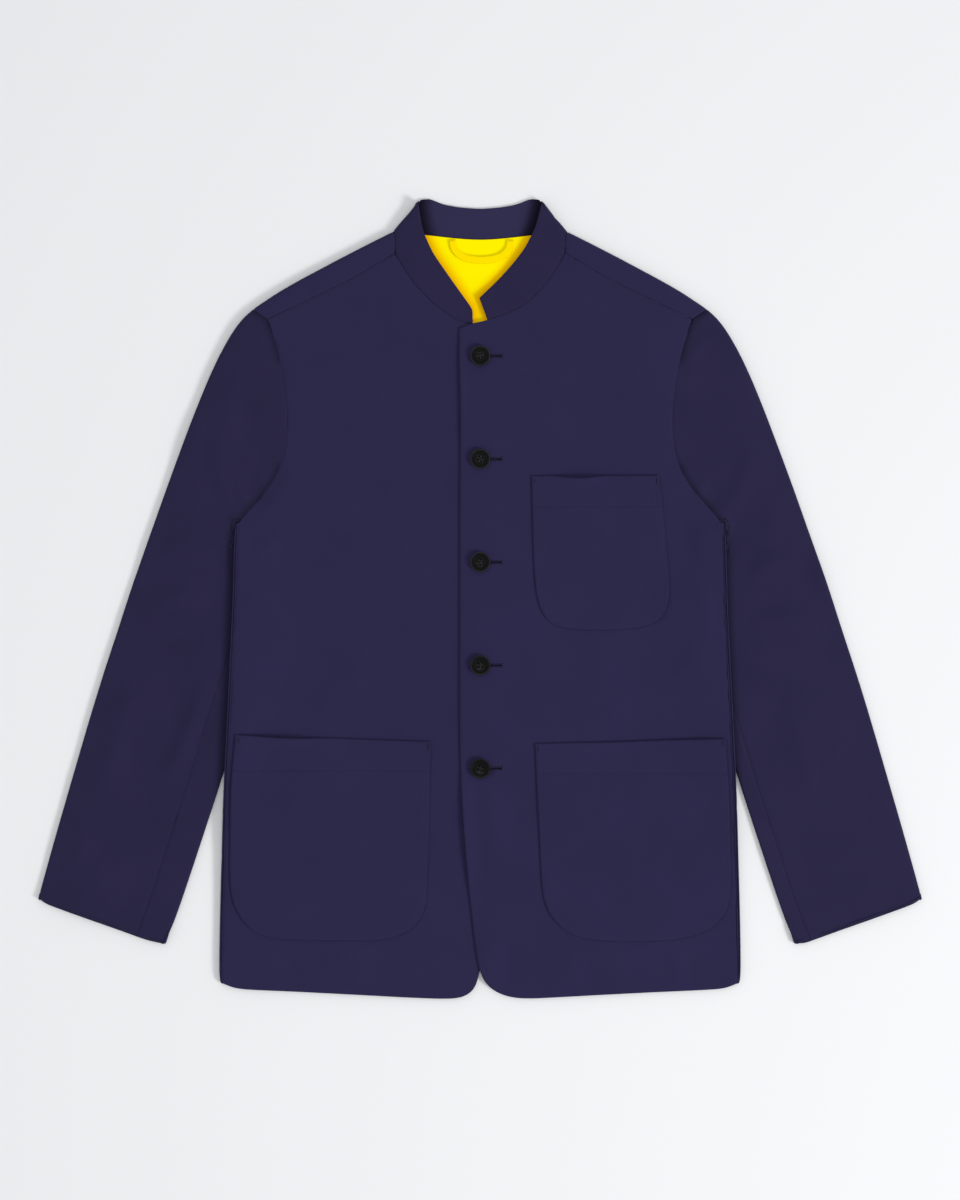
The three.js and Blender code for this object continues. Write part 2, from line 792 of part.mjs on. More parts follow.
// The first section runs along the armhole seams, a seam's gap outside them.
function armholeSection() {
  const gap = SEAM_GAP;
  const onward = shoulderEdge[ARMHOLE_END].clone().sub(shoulderEdge[ARMHOLE_END - 1]).normalize();
  const outer = shoulderEdge[ARMHOLE_END].clone().addScaledVector(onward, gap);
  const topLine = besides(sleeveTopRun, gap);
  topLine[0] = shoulderLow[ARMHOLE_END].clone().addScaledVector(onward, gap);
  const bottomLine = besides(sleeveBottomRun, gap);
  bottomLine[0] = topLine[0].clone();
  const underarm = FRONT_ARMHOLE[0];
  const low = tuckRise(underarm.x, underarm.y);
  const high = frontTop("left", underarm.x, underarm.y);
  const out = new THREE.Vector3(1, -1, 0).normalize();
  const radius = (high - low) / 2;
  const inner = topLine[topLine.length - 1].clone().addScaledVector(out, radius);
  bottomLine[bottomLine.length - 1] = topLine[topLine.length - 1].clone();
  return {
    top: topLine.map((p, k) => p.setZ(frontTop("left", sleeveTopRun[k].x, sleeveTopRun[k].y))),
    onward: [],
    bottom: bottomLine.map((p, k) => p.setZ(tuckRise(sleeveBottomRun[k].x, sleeveBottomRun[k].y))),
    outerArc: foldArc(outer, shoulderOut[ARMHOLE_END], 0, SHOULDER_HEIGHT, FOLD_STEPS),
    innerArc: foldArc(inner, out, low, high, FOLD_STEPS).reverse(),
  };
}

// Rounds the cuff's corners: the ends of the last section are drawn up the sleeve.
function roundCuff(sections) {
  const [before, cuff] = sections.slice(-2);
  const middle = Math.floor(cuff.top.length / 2);
  const way = before.top[middle].clone().sub(cuff.top[middle]).setZ(0).normalize();
  const [outer, inner] = [cuff.outerArc[FOLD_STEPS / 2].clone(), cuff.innerArc[FOLD_STEPS / 2].clone()];
  for (const run of Object.values(cuff)) {
    for (const p of run) {
      const reach = Math.min(p.clone().sub(outer).setZ(0).length(), p.clone().sub(inner).setZ(0).length());
      const missing = Math.max(0, CUFF_CORNER_RADIUS - reach);
      const drawn = CUFF_CORNER_RADIUS - Math.sqrt(CUFF_CORNER_RADIUS ** 2 - missing ** 2);
      p.addScaledVector(way, drawn);
    }
  }
}

// A sleeve's two pieces, parted at the forearm seam on its upper side and the elbow seam under it.
function sleeveGrids(side) {
  const sections = [armholeSection(), ...SLEEVE.map((row, i) => sleeveSection(side, row, i))];
  roundCuff(sections);
  const upper = [];
  const under = [];
  sections.forEach(({ top, onward, bottom, outerArc, innerArc }, i) => {
    const elbow = bottom[ELBOW_SEAM_COLUMN];
    const elbowGap = bottom[ELBOW_SEAM_COLUMN + 1].clone().sub(elbow).setLength(SEAM_GAP);
    const toElbow = bottom.slice(1, ELBOW_SEAM_COLUMN + 1).reverse();
    upper.push([...toElbow, ...outerArc, ...top.slice(1)]);
    const forearm = top[top.length - 1];
    const next = onward[0] ?? innerArc[1];
    const gap = i < SEAM_START_ROWS ? SEAM_START_GAP : SEAM_GAP;
    const start = forearm.clone().add(next.clone().sub(forearm).setLength(gap));
    const toFold = Array(SEAM_TO_FOLD_STEPS).fill(start);
    if (onward.length) toFold.splice(0, SEAM_TO_FOLD_STEPS, ...onward.slice(0, -1), innerArc[0]);
    const underside = bottom.slice(ELBOW_SEAM_COLUMN + 1, -1).reverse();
    under.push([start, ...toFold, ...innerArc.slice(1), ...underside, elbow.clone().add(elbowGap)]);
  });
  return side === "left" ? { upper, under } : { upper: mirrored(upper), under: mirrored(under) };
}

// The collar, from the centre back to one front: runs across the band from its neck seam to its upper edge.
function collarHalf(side) {
  const neck = side === "left" ? LEFT_NECK : RIGHT_NECK;
  const edge = side === "left" ? LEFT_WING_EDGE : RIGHT_WING_EDGE;
  const foldOut = shoulderOut[0];
  const away = new THREE.Vector3(-foldOut.y, foldOut.x, 0);
  const foldShares = even(COLLAR_ROWS);
  const foldEdge = along(COLLAR_FOLD, foldShares);
  foldEdge[0].addScaledVector(away, SEAM_GAP);
  const arcs = foldEdge.map((p, i) => {
    const up = i / COLLAR_ROWS;
    const out = foldOut.clone().lerp(COLLAR_EAR_FACING, up).normalize();
    const upperReach = mix(SHOULDER_RADIUS, COLLAR_EAR_REACH, up);
    return foldArc(p, out, 0, SHOULDER_HEIGHT + COLLAR_RISE * up, FOLD_STEPS, { upperReach });
  });
  const band = (low, high) => foldShares.map((share) => low.clone().lerp(high, share));

  const wingSeam = neck.slice(COLLAR_FROM_COLUMN).map(flat);
  const foldTop = arcs[0][FOLD_STEPS];
  const wingLow = besides([...wingSeam, foldTop.clone().setZ(0)], SEAM_GAP).slice(0, -1);
  const edgeShares = sharesOf(wingLow).map((share) => share * WING_EDGE_SHARE);
  const upperFoldTop = arcs[COLLAR_ROWS][FOLD_STEPS];
  const wingHigh = along([...edge, { x: upperFoldTop.x, y: upperFoldTop.y }], edgeShares);
  const wing = wingLow.map((p, i) => {
    const seam = wingSeam[i];
    const lowZ = frontTop(side, seam.x, seam.y);
    const highZ = lowZ + COLLAR_RISE * mix(0.5, 1, i / (wingLow.length - 1));
    return band(p.clone().setZ(lowZ), wingHigh[i].clone().setZ(highZ));
  });

  const backLow = BACK_NECK.map(flat);
  const backSeam = besides([...backLow, shoulderLow[0]], SEAM_GAP).slice(0, -1);
  const backHigh = BACK_COLLAR_EDGE.map(flat);
  const back = backSeam.map((p, i) => band(p, backHigh[i]));

  const folded = even(FOLD_STEPS).map((_, k) => arcs.map((arc) => arc[k]));
  return [...back, ...folded, ...wing.reverse()];
}

// Splits each stretch of a run of rows in two, for a rounder mesh.
function doubled(rows) {
  return rows.flatMap((row, i) => {
    if (!i) return [row];
    return [row.map((p, k) => p.clone().lerp(rows[i - 1][k], 0.5)), row];
  });
}

function collarGrid() {
  const left = collarHalf("left");
  const right = collarHalf("right").map((row) => row.map(mirroredPoint));
  return [...right.slice(1).reverse(), ...left];
}

function liningGrid() {
  const top = BACK_NECK.map(flat);
  const full = [...top.slice(1).reverse().map((p) => new THREE.Vector3(-p.x, p.y, 0)), ...top];
  const half = top[top.length - 1].x;
  return even(LINING_ROWS).map((share) =>
    full.map((p) => {
      const low = new THREE.Vector3((p.x / half) * LINING_LOW_HALF, LINING_LOW_Y, 0);
      return low.lerp(p, share).setZ(LINING_TOP);
    }),
  );
}

function loopGrid() {
  const line = along(LOOP_LINE, even(LOOP_STEPS));
  const top = LINING_TOP + SEAM_GAP + LOOP_CLOTH;
  const rows = [-LOOP_WIDTH / 2, 0, LOOP_WIDTH / 2].map((distance) => besides(line, distance));
  for (const row of rows) for (const p of row) p.setZ(top);
  return rows;
}

// Height of a panel's outer face at a point in plan, read from its faces.
function heightOn(grid, x, y) {
  const triangle = new THREE.Triangle();
  const weights = new THREE.Vector3();
  const here = new THREE.Vector3(x, y, 0);
  for (let row = 1; row < grid.length; row++) {
    for (let column = 1; column < grid[row].length; column++) {
      const [a, b, c, d] = [
        grid[row - 1][column - 1],
        grid[row - 1][column],
        grid[row][column],
        grid[row][column - 1],
      ];
      for (const corners of halved(a, b, c, d)) {
        triangle.set(...corners.map((p) => p.clone().setZ(0)));
        if (!triangle.containsPoint(here)) continue;
        triangle.getBarycoord(here, weights);
        return weights.x * corners[0].z + weights.y * corners[1].z + weights.z * corners[2].z;
      }
    }
  }
  return 0;
}

// A patch pocket on its front: its points lie on the front's, moved out, and its mouth gapes a little.
function pocketGrid(pocket, panel) {
  const { gape } = pocket;
  const rows = even(POCKET_ROWS).map((share) => share ** POCKET_ROW_SPREAD);
  const left = along(pocket.left, rows);
  const right = along(pocket.right, rows);
  const mouth = POCKET_SHARES.map((share) => left[POCKET_ROWS].clone().lerp(right[POCKET_ROWS], share));
  const grid = panelGrid(left, right, along(pocket.bottom, CORNER_SHARES), mouth, POCKET_SHARES);
  const mouthY = left[POCKET_ROWS].y;
  const reach = POCKET_CLEARANCE_REACH;
  for (const p of grid.flat()) {
    let under = 0;
    for (const dx of [-reach, 0, reach]) {
      for (const dy of [-reach, 0, reach]) under = Math.max(under, heightOn(panel, p.x + dx, p.y + dy));
    }
    const across = ease(1 - Math.abs(p.x - gape.x) / gape.half);
    const open = gape.rise * across * ease(1 - (mouthY - p.y) / gape.length);
    p.setZ(under + SEAM_GAP + POCKET_CLOTH + open);
  }
  return grid;
}

// A cutter for one buttonhole: a round eyelet at the button's shank and a slit towards the side.
function buttonholeCutter(y) {
  const height = 3 * PLACKET_TOP;
  const eyelet = new THREE.CylinderGeometry(EYELET_RADIUS, EYELET_RADIUS, height, 12);
  eyelet.rotateX(Math.PI / 2).translate(BUTTON_X, y, PLACKET_TOP);
  const slit = new THREE.BoxGeometry(BUTTONHOLE_END_X - BUTTON_X, BUTTONHOLE_WIDTH, height);
  slit.translate((BUTTONHOLE_END_X + BUTTON_X) / 2, y, PLACKET_TOP);
  return solidOf(eyelet).add(solidOf(slit));
}

// A four-hole button with its thread shank, which reaches through the buttonhole to the front below.
function buttonGeometry(y) {
  const under = PLACKET_TOP + SEAM_GAP;
  const top = under + BUTTON_HEIGHT;
  const profile = [
    [0, BODY_HEIGHT + SEAM_GAP],
    [SHANK_RADIUS, BODY_HEIGHT + SEAM_GAP],
    [SHANK_RADIUS, under],
    ...BUTTON_OUTLINE.map((row) => [BUTTON_RADIUS - row.inset, under + row.up]),
  ].map(([r, z]) => new THREE.Vector2(r, z));
  const disc = new THREE.LatheGeometry(profile, BUTTON_SIDES).rotateX(Math.PI / 2);
  let button = solidOf(disc);
  for (const dx of [-THREAD_HOLE_OFFSET, THREAD_HOLE_OFFSET]) {
    for (const dy of [-THREAD_HOLE_OFFSET, THREAD_HOLE_OFFSET]) {
      const hole = new THREE.CylinderGeometry(THREAD_HOLE_RADIUS, THREAD_HOLE_RADIUS, 2 * BUTTON_HEIGHT, 8);
      hole.rotateX(Math.PI / 2).translate(dx, dy, top - BUTTON_HEIGHT / 2);
      button = button.subtract(solidOf(hole));
    }
  }
  return geometryOf(button).translate(BUTTON_X, y, 0);
}

const buttonYs = Array.from({ length: BUTTON_COUNT }, (_, i) => TOP_BUTTON_Y - i * BUTTON_PITCH);

addPiece("back_panel", clothWall(backGrids(), BACK_CLOTH), navy);

const frontPanels = {
  right: frontGrids("right", RIGHT_EDGE, RIGHT_NECK, RIGHT_HEM),
  left: frontGrids("left", LEFT_EDGE, LEFT_NECK, LEFT_HEM),
};
addPiece("front_right", clothWall(frontPanels.right, FRONT_CLOTH), navy);
let leftFront = solidOf(clothWall(frontPanels.left, FRONT_CLOTH));
for (const y of buttonYs) leftFront = leftFront.subtract(buttonholeCutter(y));
addPiece("front_left", geometryOf(leftFront), navy);

for (const side of ["right", "left"]) {
  const { upper, under } = sleeveGrids(side);
  addPiece(`sleeve_${side}_upper`, clothWall([upper], SLEEVE_CLOTH), navy);
  addPiece(`sleeve_${side}_under`, clothWall([under], SLEEVE_CLOTH), navy);
}

addPiece("collar_stand", clothWall([doubled(collarGrid())], COLLAR_CLOTH), navyInside);
addPiece("lining_back", clothWall([liningGrid()], LINING_CLOTH), yellow);
addPiece("hanger_loop", clothWall([loopGrid()], LOOP_CLOTH), yellow);
for (const pocket of POCKETS) {
  addPiece(pocket.name, clothWall([pocketGrid(pocket, frontPanels[pocket.front][0])], POCKET_CLOTH), navy);
}
buttonYs.forEach((y, i) => addPiece(`button_${i + 1}`, buttonGeometry(y), black));

export default jacket;
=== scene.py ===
# %% [markdown]
# # A tailored jacket, laid flat
#
# The jacket has a stand collar, five buttons, two-piece sleeves and three patch pockets, and it lies on
# its back. The imported CAD model gives each cut piece of cloth as a plain wall. This lesson turns the walls
# into cloth: it smooths them, rolls their edges, lays the soft creases in, sews them and gives
# them their weave. Everything is in metres, with the centre front at X = 0 and the collar towards +Y.

# %% Load the fixed frame
import math

import bmesh
import bpy
import numpy as np
from mathutils import Matrix, Vector
from mathutils.bvhtree import BVHTree
from mathutils.kdtree import KDTree


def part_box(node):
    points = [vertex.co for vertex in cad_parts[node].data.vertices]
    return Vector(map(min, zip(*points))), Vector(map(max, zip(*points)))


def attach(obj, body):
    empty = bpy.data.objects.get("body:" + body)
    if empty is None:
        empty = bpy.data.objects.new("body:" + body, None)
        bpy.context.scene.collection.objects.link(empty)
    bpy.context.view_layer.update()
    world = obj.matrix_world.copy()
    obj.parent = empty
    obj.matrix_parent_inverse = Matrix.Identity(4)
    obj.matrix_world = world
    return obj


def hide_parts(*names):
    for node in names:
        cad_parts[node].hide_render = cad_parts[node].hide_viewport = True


MM = 0.001
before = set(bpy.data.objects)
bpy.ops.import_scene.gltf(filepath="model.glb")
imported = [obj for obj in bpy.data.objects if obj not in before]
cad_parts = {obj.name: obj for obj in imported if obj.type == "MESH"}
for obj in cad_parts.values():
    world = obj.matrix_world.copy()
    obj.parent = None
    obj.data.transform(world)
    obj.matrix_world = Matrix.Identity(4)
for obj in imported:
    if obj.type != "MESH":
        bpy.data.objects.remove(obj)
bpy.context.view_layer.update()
bpy.ops.object.select_all(action="DESELECT")
print("CAD nodes:", sorted(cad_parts))

# %% [markdown]
# ## Camera, floor and light
#
# A flat lay is photographed from straight above. A long lens far away keeps the outline free of
# perspective, so one picture height of cloth is the same length everywhere. The light is a soft panel
# beyond the hem, on the left sleeve's side, because buttons and pocket mouths cast their short shadows away
# from there. A weak panel overhead and a bright room keep the shadows open.

# %% Camera straight above
PICTURE_HEIGHT = 1.2
CAMERA_HEIGHT = 3.0
CLOTH_HEIGHT = 0.006
SENSOR = 36.0

camera_data = bpy.data.cameras.new("camera")
camera_data.sensor_fit = "VERTICAL"
camera_data.sensor_width = SENSOR
camera_data.sensor_height = SENSOR
camera_data.lens = SENSOR * (CAMERA_HEIGHT - CLOTH_HEIGHT) / PICTURE_HEIGHT
camera = bpy.data.objects.new("camera", camera_data)
camera.location = (0, 0, CAMERA_HEIGHT)
bpy.context.scene.collection.objects.link(camera)
bpy.context.scene.camera = camera
print("lens:", round(camera_data.lens, 1), "mm")

# %% Floor, light panels and bright room
FLOOR_DROP = 0.4 * MM
ROOM_COLOR = (0.97, 0.98, 1.0)
ROOM_STRENGTH = 0.62


def plain_material(name, color, roughness):
    made = bpy.data.materials.new(name)
    made.use_nodes = True
    shader = made.node_tree.nodes["Principled BSDF"]
    shader.inputs["Base Color"].default_value = (*color, 1)
    shader.inputs["Roughness"].default_value = roughness
    shader.inputs["Specular IOR Level"].default_value = 0.2
    return made


bpy.ops.mesh.primitive_plane_add(size=8, location=(0, 0, -FLOOR_DROP))
floor = bpy.context.object
floor.name = "floor"
floor.data.materials.append(plain_material("pale floor", (0.83, 0.83, 0.84), 0.7))
floor.select_set(False)


def light_panel(name, place, size, power):
    """A square area light that looks at the jacket's middle."""
    data = bpy.data.lights.new(name, "AREA")
    data.size = size
    data.energy = power
    panel = bpy.data.objects.new(name, data)
    panel.location = place
    panel.rotation_euler = Vector(place).to_track_quat("Z", "Y").to_euler()
    bpy.context.scene.collection.objects.link(panel)


light_panel("key panel", (3.6, -2.0, 2.8), size=1.2, power=128)
light_panel("overhead panel", (0.0, 0.35, 3.3), size=1.4, power=19)

room = bpy.data.worlds.new("bright room")
room.use_nodes = True
room.node_tree.nodes["Background"].inputs["Color"].default_value = (*ROOM_COLOR, 1)
room.node_tree.nodes["Background"].inputs["Strength"].default_value = ROOM_STRENGTH
bpy.context.scene.world = room
bpy.context.scene.view_settings.view_transform = "Standard"
print("lights and floor are in place")

# %% [markdown]
# ## Weave
#
# Suiting wool is a twill: each yarn passes over two and under two, so fine ridges climb the cloth at 45
# degrees. One node group makes it for every cloth. It works in millimetres on Object coordinates, and a
# Mapping node in each material turns it, because the sleeves were cut with their own grain. It puts out a
# height for bump, a shade for the yarns and a slow unevenness, as pressed wool has.

# %% Node helpers and the weave group


class Tree:
    """Adds nodes to one node tree and links them, in short calls."""

    def __init__(self, tree):
        self.nodes = tree.nodes
        self.links = tree.links

    def add(self, kind, inputs=None, **settings):
        node = self.nodes.new(kind)
        for key, value in settings.items():
            setattr(node, key, value)
        for key, value in (inputs or {}).items():
            if isinstance(value, bpy.types.NodeSocket):
                self.links.new(value, node.inputs[key])
            else:
                node.inputs[key].default_value = value
        return node

    def math(self, operation, a, b=0.0, c=0.0):
        node = self.add("ShaderNodeMath", {0: a, 1: b, 2: c}, operation=operation)
        return node.outputs[0]

    def mix_colors(self, factor, a, b):
        """A colour between a and b, given as triples or sockets, which a Mix node has as numbers 6 and 7."""
        a, b = [c if isinstance(c, bpy.types.NodeSocket) else (*c, 1) for c in (a, b)]
        node = self.add("ShaderNodeMix", {0: factor, 6: a, 7: b}, data_type="RGBA")
        return node.outputs[2]


def node_group(name, inputs, outputs):
    """A new shader node group with named sockets, given as (name, kind, default)."""
    group = bpy.data.node_groups.new(name, "ShaderNodeTree")
    for label, kind, default in inputs:
        socket = group.interface.new_socket(label, in_out="INPUT", socket_type=kind)
        if default is not None:
            socket.default_value = default
    for label, kind in outputs:
        group.interface.new_socket(label, in_out="OUTPUT", socket_type=kind)
    tree = Tree(group)
    return group, tree, tree.add("NodeGroupInput").outputs, tree.add("NodeGroupOutput").inputs


weave_group, weave, given, out = node_group(
    "twill weave",
    [
        ("Vector", "NodeSocketVector", None),
        ("Rib spacing mm", "NodeSocketFloat", 1.1),
        ("Fuzz", "NodeSocketFloat", 0.5),
    ],
    [("Shade", "NodeSocketFloat"), ("Height", "NodeSocketFloat"), ("Unevenness", "NodeSocketFloat")],
)
METRES_TO_MM = 1000.0
in_mm = weave.add("ShaderNodeVectorMath", {0: given["Vector"]}, operation="SCALE")
in_mm.inputs["Scale"].default_value = METRES_TO_MM
apart = weave.add("ShaderNodeSeparateXYZ", {0: in_mm.outputs[0]})
turns = weave.math("DIVIDE", math.tau, given["Rib spacing mm"])
climb = weave.math("ADD", apart.outputs["X"], apart.outputs["Y"])
rib = weave.math("SINE", weave.math("MULTIPLY", climb, turns))
yarn_turns = weave.math("MULTIPLY", turns, 2.0)
across = weave.math("SINE", weave.math("MULTIPLY", apart.outputs["X"], yarn_turns))
along_yarn = weave.math("SINE", weave.math("MULTIPLY", apart.outputs["Y"], yarn_turns))
yarns = weave.math("MULTIPLY", across, along_yarn)
fuzz = weave.add("ShaderNodeTexNoise", {"Vector": in_mm.outputs[0], "Scale": 1.6, "Detail": 3.0})
slow = weave.add("ShaderNodeTexNoise", {"Vector": in_mm.outputs[0], "Scale": 0.018, "Detail": 3.0})
weave_sum = weave.math("MULTIPLY_ADD", yarns, 0.4, rib)
fuzz_part = weave.math("MULTIPLY", fuzz.outputs["Fac"], given["Fuzz"])
height = weave.math("MULTIPLY_ADD", weave_sum, 0.3, fuzz_part)
weave.links.new(weave.math("MULTIPLY_ADD", height, 0.5, 0.5), out["Shade"])
weave.links.new(height, out["Height"])
weave.links.new(slow.outputs["Fac"], out["Unevenness"])
print("group:", weave_group.name, "with", len(weave_group.nodes), "nodes")

# %% [markdown]
# ## Finishes
#
# Navy wool gives back very little light, but its short nap catches light at the edges of folds, which the
# shader's sheen does. The lining is a smooth yellow satin, brighter and slightly glossy. The buttons are
# black resin. Thread is the cloth's own colour, a little darker, so that stitches show only up close.

# %% Cloth finishes


def cloth_material(
    name, dark, light, grain, bump_mm, painted_shade=None, rib_mm=1.1, fuzz=0.5, rough=0.9, sheen=0.12, gloss=0.1
):
    """Woven cloth. Where a piece's painted-shade attribute is 1, it takes the given colour of painted shade.
    """
    made = bpy.data.materials.new(name)
    made.use_nodes = True
    tree = Tree(made.node_tree)
    shader = made.node_tree.nodes["Principled BSDF"]
    place = tree.add("ShaderNodeTexCoord")
    turned = tree.add("ShaderNodeMapping", {"Vector": place.outputs["Object"]})
    turned.inputs["Rotation"].default_value = (0, 0, math.radians(grain))
    cloth = tree.add("ShaderNodeGroup", node_tree=weave_group)
    tree.links.new(turned.outputs[0], cloth.inputs["Vector"])
    cloth.inputs["Rib spacing mm"].default_value = rib_mm
    cloth.inputs["Fuzz"].default_value = fuzz
    slow_tone = tree.math("MULTIPLY_ADD", cloth.outputs["Unevenness"], 0.5, -0.02)
    tone = tree.math("MULTIPLY_ADD", cloth.outputs["Shade"], 0.6, slow_tone)
    color = tree.mix_colors(tone, dark, light)
    # Painted shade: the attribute mixes a darker colour in where shade falls
    if painted_shade:
        depth = tree.add("ShaderNodeAttribute", attribute_name="painted_shade")
        color = tree.mix_colors(depth.outputs["Fac"], color, painted_shade)
    bump = tree.add("ShaderNodeBump", {"Height": cloth.outputs["Height"]})
    bump.inputs["Distance"].default_value = bump_mm * MM
    bump.inputs["Strength"].default_value = 0.6
    tree.links.new(color, shader.inputs["Base Color"])
    tree.links.new(bump.outputs["Normal"], shader.inputs["Normal"])
    shader.inputs["Roughness"].default_value = rough
    shader.inputs["Specular IOR Level"].default_value = gloss
    shader.inputs["Sheen Weight"].default_value = sheen
    shader.inputs["Sheen Roughness"].default_value = 0.5
    shader.inputs["Sheen Tint"].default_value = (0.55, 0.55, 0.8, 1)
    return made


NAVY_DARK = (0.0140, 0.0112, 0.0430)
NAVY_LIGHT = (0.0250, 0.0200, 0.0670)
# Painted shade: the sleeves and the collar's outer side are a deeper copy of the body's navy, and
# painted light makes the collar's inner side a paler copy.
NAVY_PAINTED_SHADE_DARK = (0.0125, 0.0102, 0.0370)
NAVY_PAINTED_SHADE_LIGHT = (0.0225, 0.0182, 0.0580)
# Painted shade on the sleeves beside the body's edges
SLEEVE_SHADED = (0.0050, 0.0040, 0.0150)
# Painted light: a paler copy of the navy for the collar's inner side in the neck
PAINTED_LIT_INSIDE_DARK = (0.0195, 0.0160, 0.0510)
PAINTED_LIT_INSIDE_LIGHT = (0.0310, 0.0255, 0.0760)
# Painted shade under the collar's wings, on the collar's inner side
INSIDE_PAINTED_SHADE = (0.0040, 0.0030, 0.0090)
YELLOW_DARK = (0.94, 0.73, 0.0)
YELLOW_LIGHT = (1.0, 0.93, 0.0)
# Painted shade under the collar's wings, on the lining
YELLOW_PAINTED_SHADE = (0.95, 0.50, 0.0)
# Painted shade: the loop's yellow is deepened towards orange, for the shade on its curved tape
LOOP_PAINTED_SHADE_DARK = (0.93, 0.62, 0.0)
LOOP_PAINTED_SHADE_LIGHT = (1.0, 0.82, 0.0)
SLEEVE_GRAIN = 16
BIAS_GRAIN = 45
WOOL_BUMP = 0.08
SATIN = {"fuzz": 0.2, "rough": 0.5, "sheen": 0.0, "gloss": 0.15}

navy_body = cloth_material("navy wool body", NAVY_DARK, NAVY_LIGHT, 0, WOOL_BUMP)
navy_right_sleeve, navy_left_sleeve = [
    cloth_material(f"navy wool {side} sleeve", NAVY_PAINTED_SHADE_DARK, NAVY_PAINTED_SHADE_LIGHT, grain, WOOL_BUMP, SLEEVE_SHADED)
    for side, grain in (("right", SLEEVE_GRAIN), ("left", -SLEEVE_GRAIN))
]
navy_collar = cloth_material("navy wool collar", NAVY_PAINTED_SHADE_DARK, NAVY_PAINTED_SHADE_LIGHT, BIAS_GRAIN, WOOL_BUMP)
navy_inside_painted_lit = cloth_material(
    "navy wool collar inside painted lighter", PAINTED_LIT_INSIDE_DARK, PAINTED_LIT_INSIDE_LIGHT, BIAS_GRAIN, WOOL_BUMP, INSIDE_PAINTED_SHADE
)
lining_satin = cloth_material(
    "yellow lining", YELLOW_DARK, YELLOW_LIGHT, 0, 0.02, YELLOW_PAINTED_SHADE, rib_mm=0.5, **SATIN
)
loop_satin = cloth_material("yellow loop", LOOP_PAINTED_SHADE_DARK, LOOP_PAINTED_SHADE_LIGHT, BIAS_GRAIN, 0.03, rib_mm=0.6, **SATIN)
for satin in (lining_satin, loop_satin):
    satin.node_tree.nodes["Principled BSDF"].inputs["Specular Tint"].default_value = (1, 0.8, 0, 1)
print("cloth finishes:", [m.name for m in bpy.data.materials])

# %% Thread and resin finishes


def thread_material(name, color, twist_mm=0.35):
    """Twisted thread: fine slanting ridges in bump, from a wave on Object coordinates."""
    made = bpy.data.materials.new(name)
    made.use_nodes = True
    tree = Tree(made.node_tree)
    shader = made.node_tree.nodes["Principled BSDF"]
    place = tree.add("ShaderNodeTexCoord")
    twist = tree.add("ShaderNodeTexWave", {"Vector": place.outputs["Object"]}, bands_direction="DIAGONAL")
    twist.inputs["Scale"].default_value = math.tau / (20 * twist_mm * MM)
    bump = tree.add("ShaderNodeBump", {"Height": twist.outputs["Fac"]})
    bump.inputs["Distance"].default_value = 0.05 * MM
    shades = tree.mix_colors(twist.outputs["Fac"], [0.7 * c for c in color], color)
    tree.links.new(shades, shader.inputs["Base Color"])
    tree.links.new(bump.outputs["Normal"], shader.inputs["Normal"])
    shader.inputs["Roughness"].default_value = 0.6
    shader.inputs["Specular IOR Level"].default_value = 0.2
    return made


navy_thread = thread_material("navy thread", (0.009, 0.007, 0.028))
yellow_thread = thread_material("yellow thread", (0.85, 0.62, 0.004))
black_thread = thread_material("black thread", (0.007, 0.007, 0.008))

resin = bpy.data.materials.new("black resin")
resin.use_nodes = True
resin_tree = Tree(resin.node_tree)
resin_shader = resin.node_tree.nodes["Principled BSDF"]
resin_place = resin_tree.add("ShaderNodeTexCoord")
haze = resin_tree.add("ShaderNodeTexNoise", {"Vector": resin_place.outputs["Object"]})
haze.inputs["Scale"].default_value = 900.0
haze.inputs["Detail"].default_value = 4.0
resin_rough = resin_tree.add("ShaderNodeMapRange", {"Value": haze.outputs["Fac"]})
resin_rough.inputs["To Min"].default_value = 0.16
resin_rough.inputs["To Max"].default_value = 0.3
resin_tint = resin_tree.mix_colors(haze.outputs["Fac"], (0.0015, 0.0015, 0.0018), (0.0045, 0.0045, 0.005))
resin_tree.links.new(resin_tint, resin_shader.inputs["Base Color"])
resin_tree.links.new(resin_rough.outputs["Result"], resin_shader.inputs["Roughness"])
resin_shader.inputs["Specular IOR Level"].default_value = 0.1
print("threads and resin are ready")

# %% [markdown]
# ## From a CAD wall to smooth cloth
#
# A CAD piece is a closed wall of triangles. Welded and turned back into four-sided faces, it can be
# smoothed by a Subdivision Surface. A narrow strip of faces is first inset along every cut edge, so that
# smoothing keeps the outline and leaves fine faces there, in which the turned edge can be rolled. The cut
# edges are creased. A cloth simulation would move the outline off the CAD, so the shape is kept as given.

# %% Weld, square up and smooth a piece
WELD = 0.01 * MM
CUT_EDGE_ANGLE = math.radians(50)
EDGE_STRIP = 3.0 * MM
SMOOTH_LEVELS = 3
PANEL_SHARE = 0.8


def square_mesh(node):
    """A CAD node's mesh as a bmesh of welded, mostly four-sided faces."""
    bm = bmesh.new()
    bm.from_mesh(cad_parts[node].data)
    bmesh.ops.remove_doubles(bm, verts=bm.verts, dist=WELD)
    bmesh.ops.join_triangles(
        bm, faces=bm.faces, angle_face_threshold=math.radians(40), angle_shape_threshold=math.pi
    )
    return bm


def is_cut(edge):
    return len(edge.link_faces) == 2 and edge.calc_face_angle() > CUT_EDGE_ANGLE


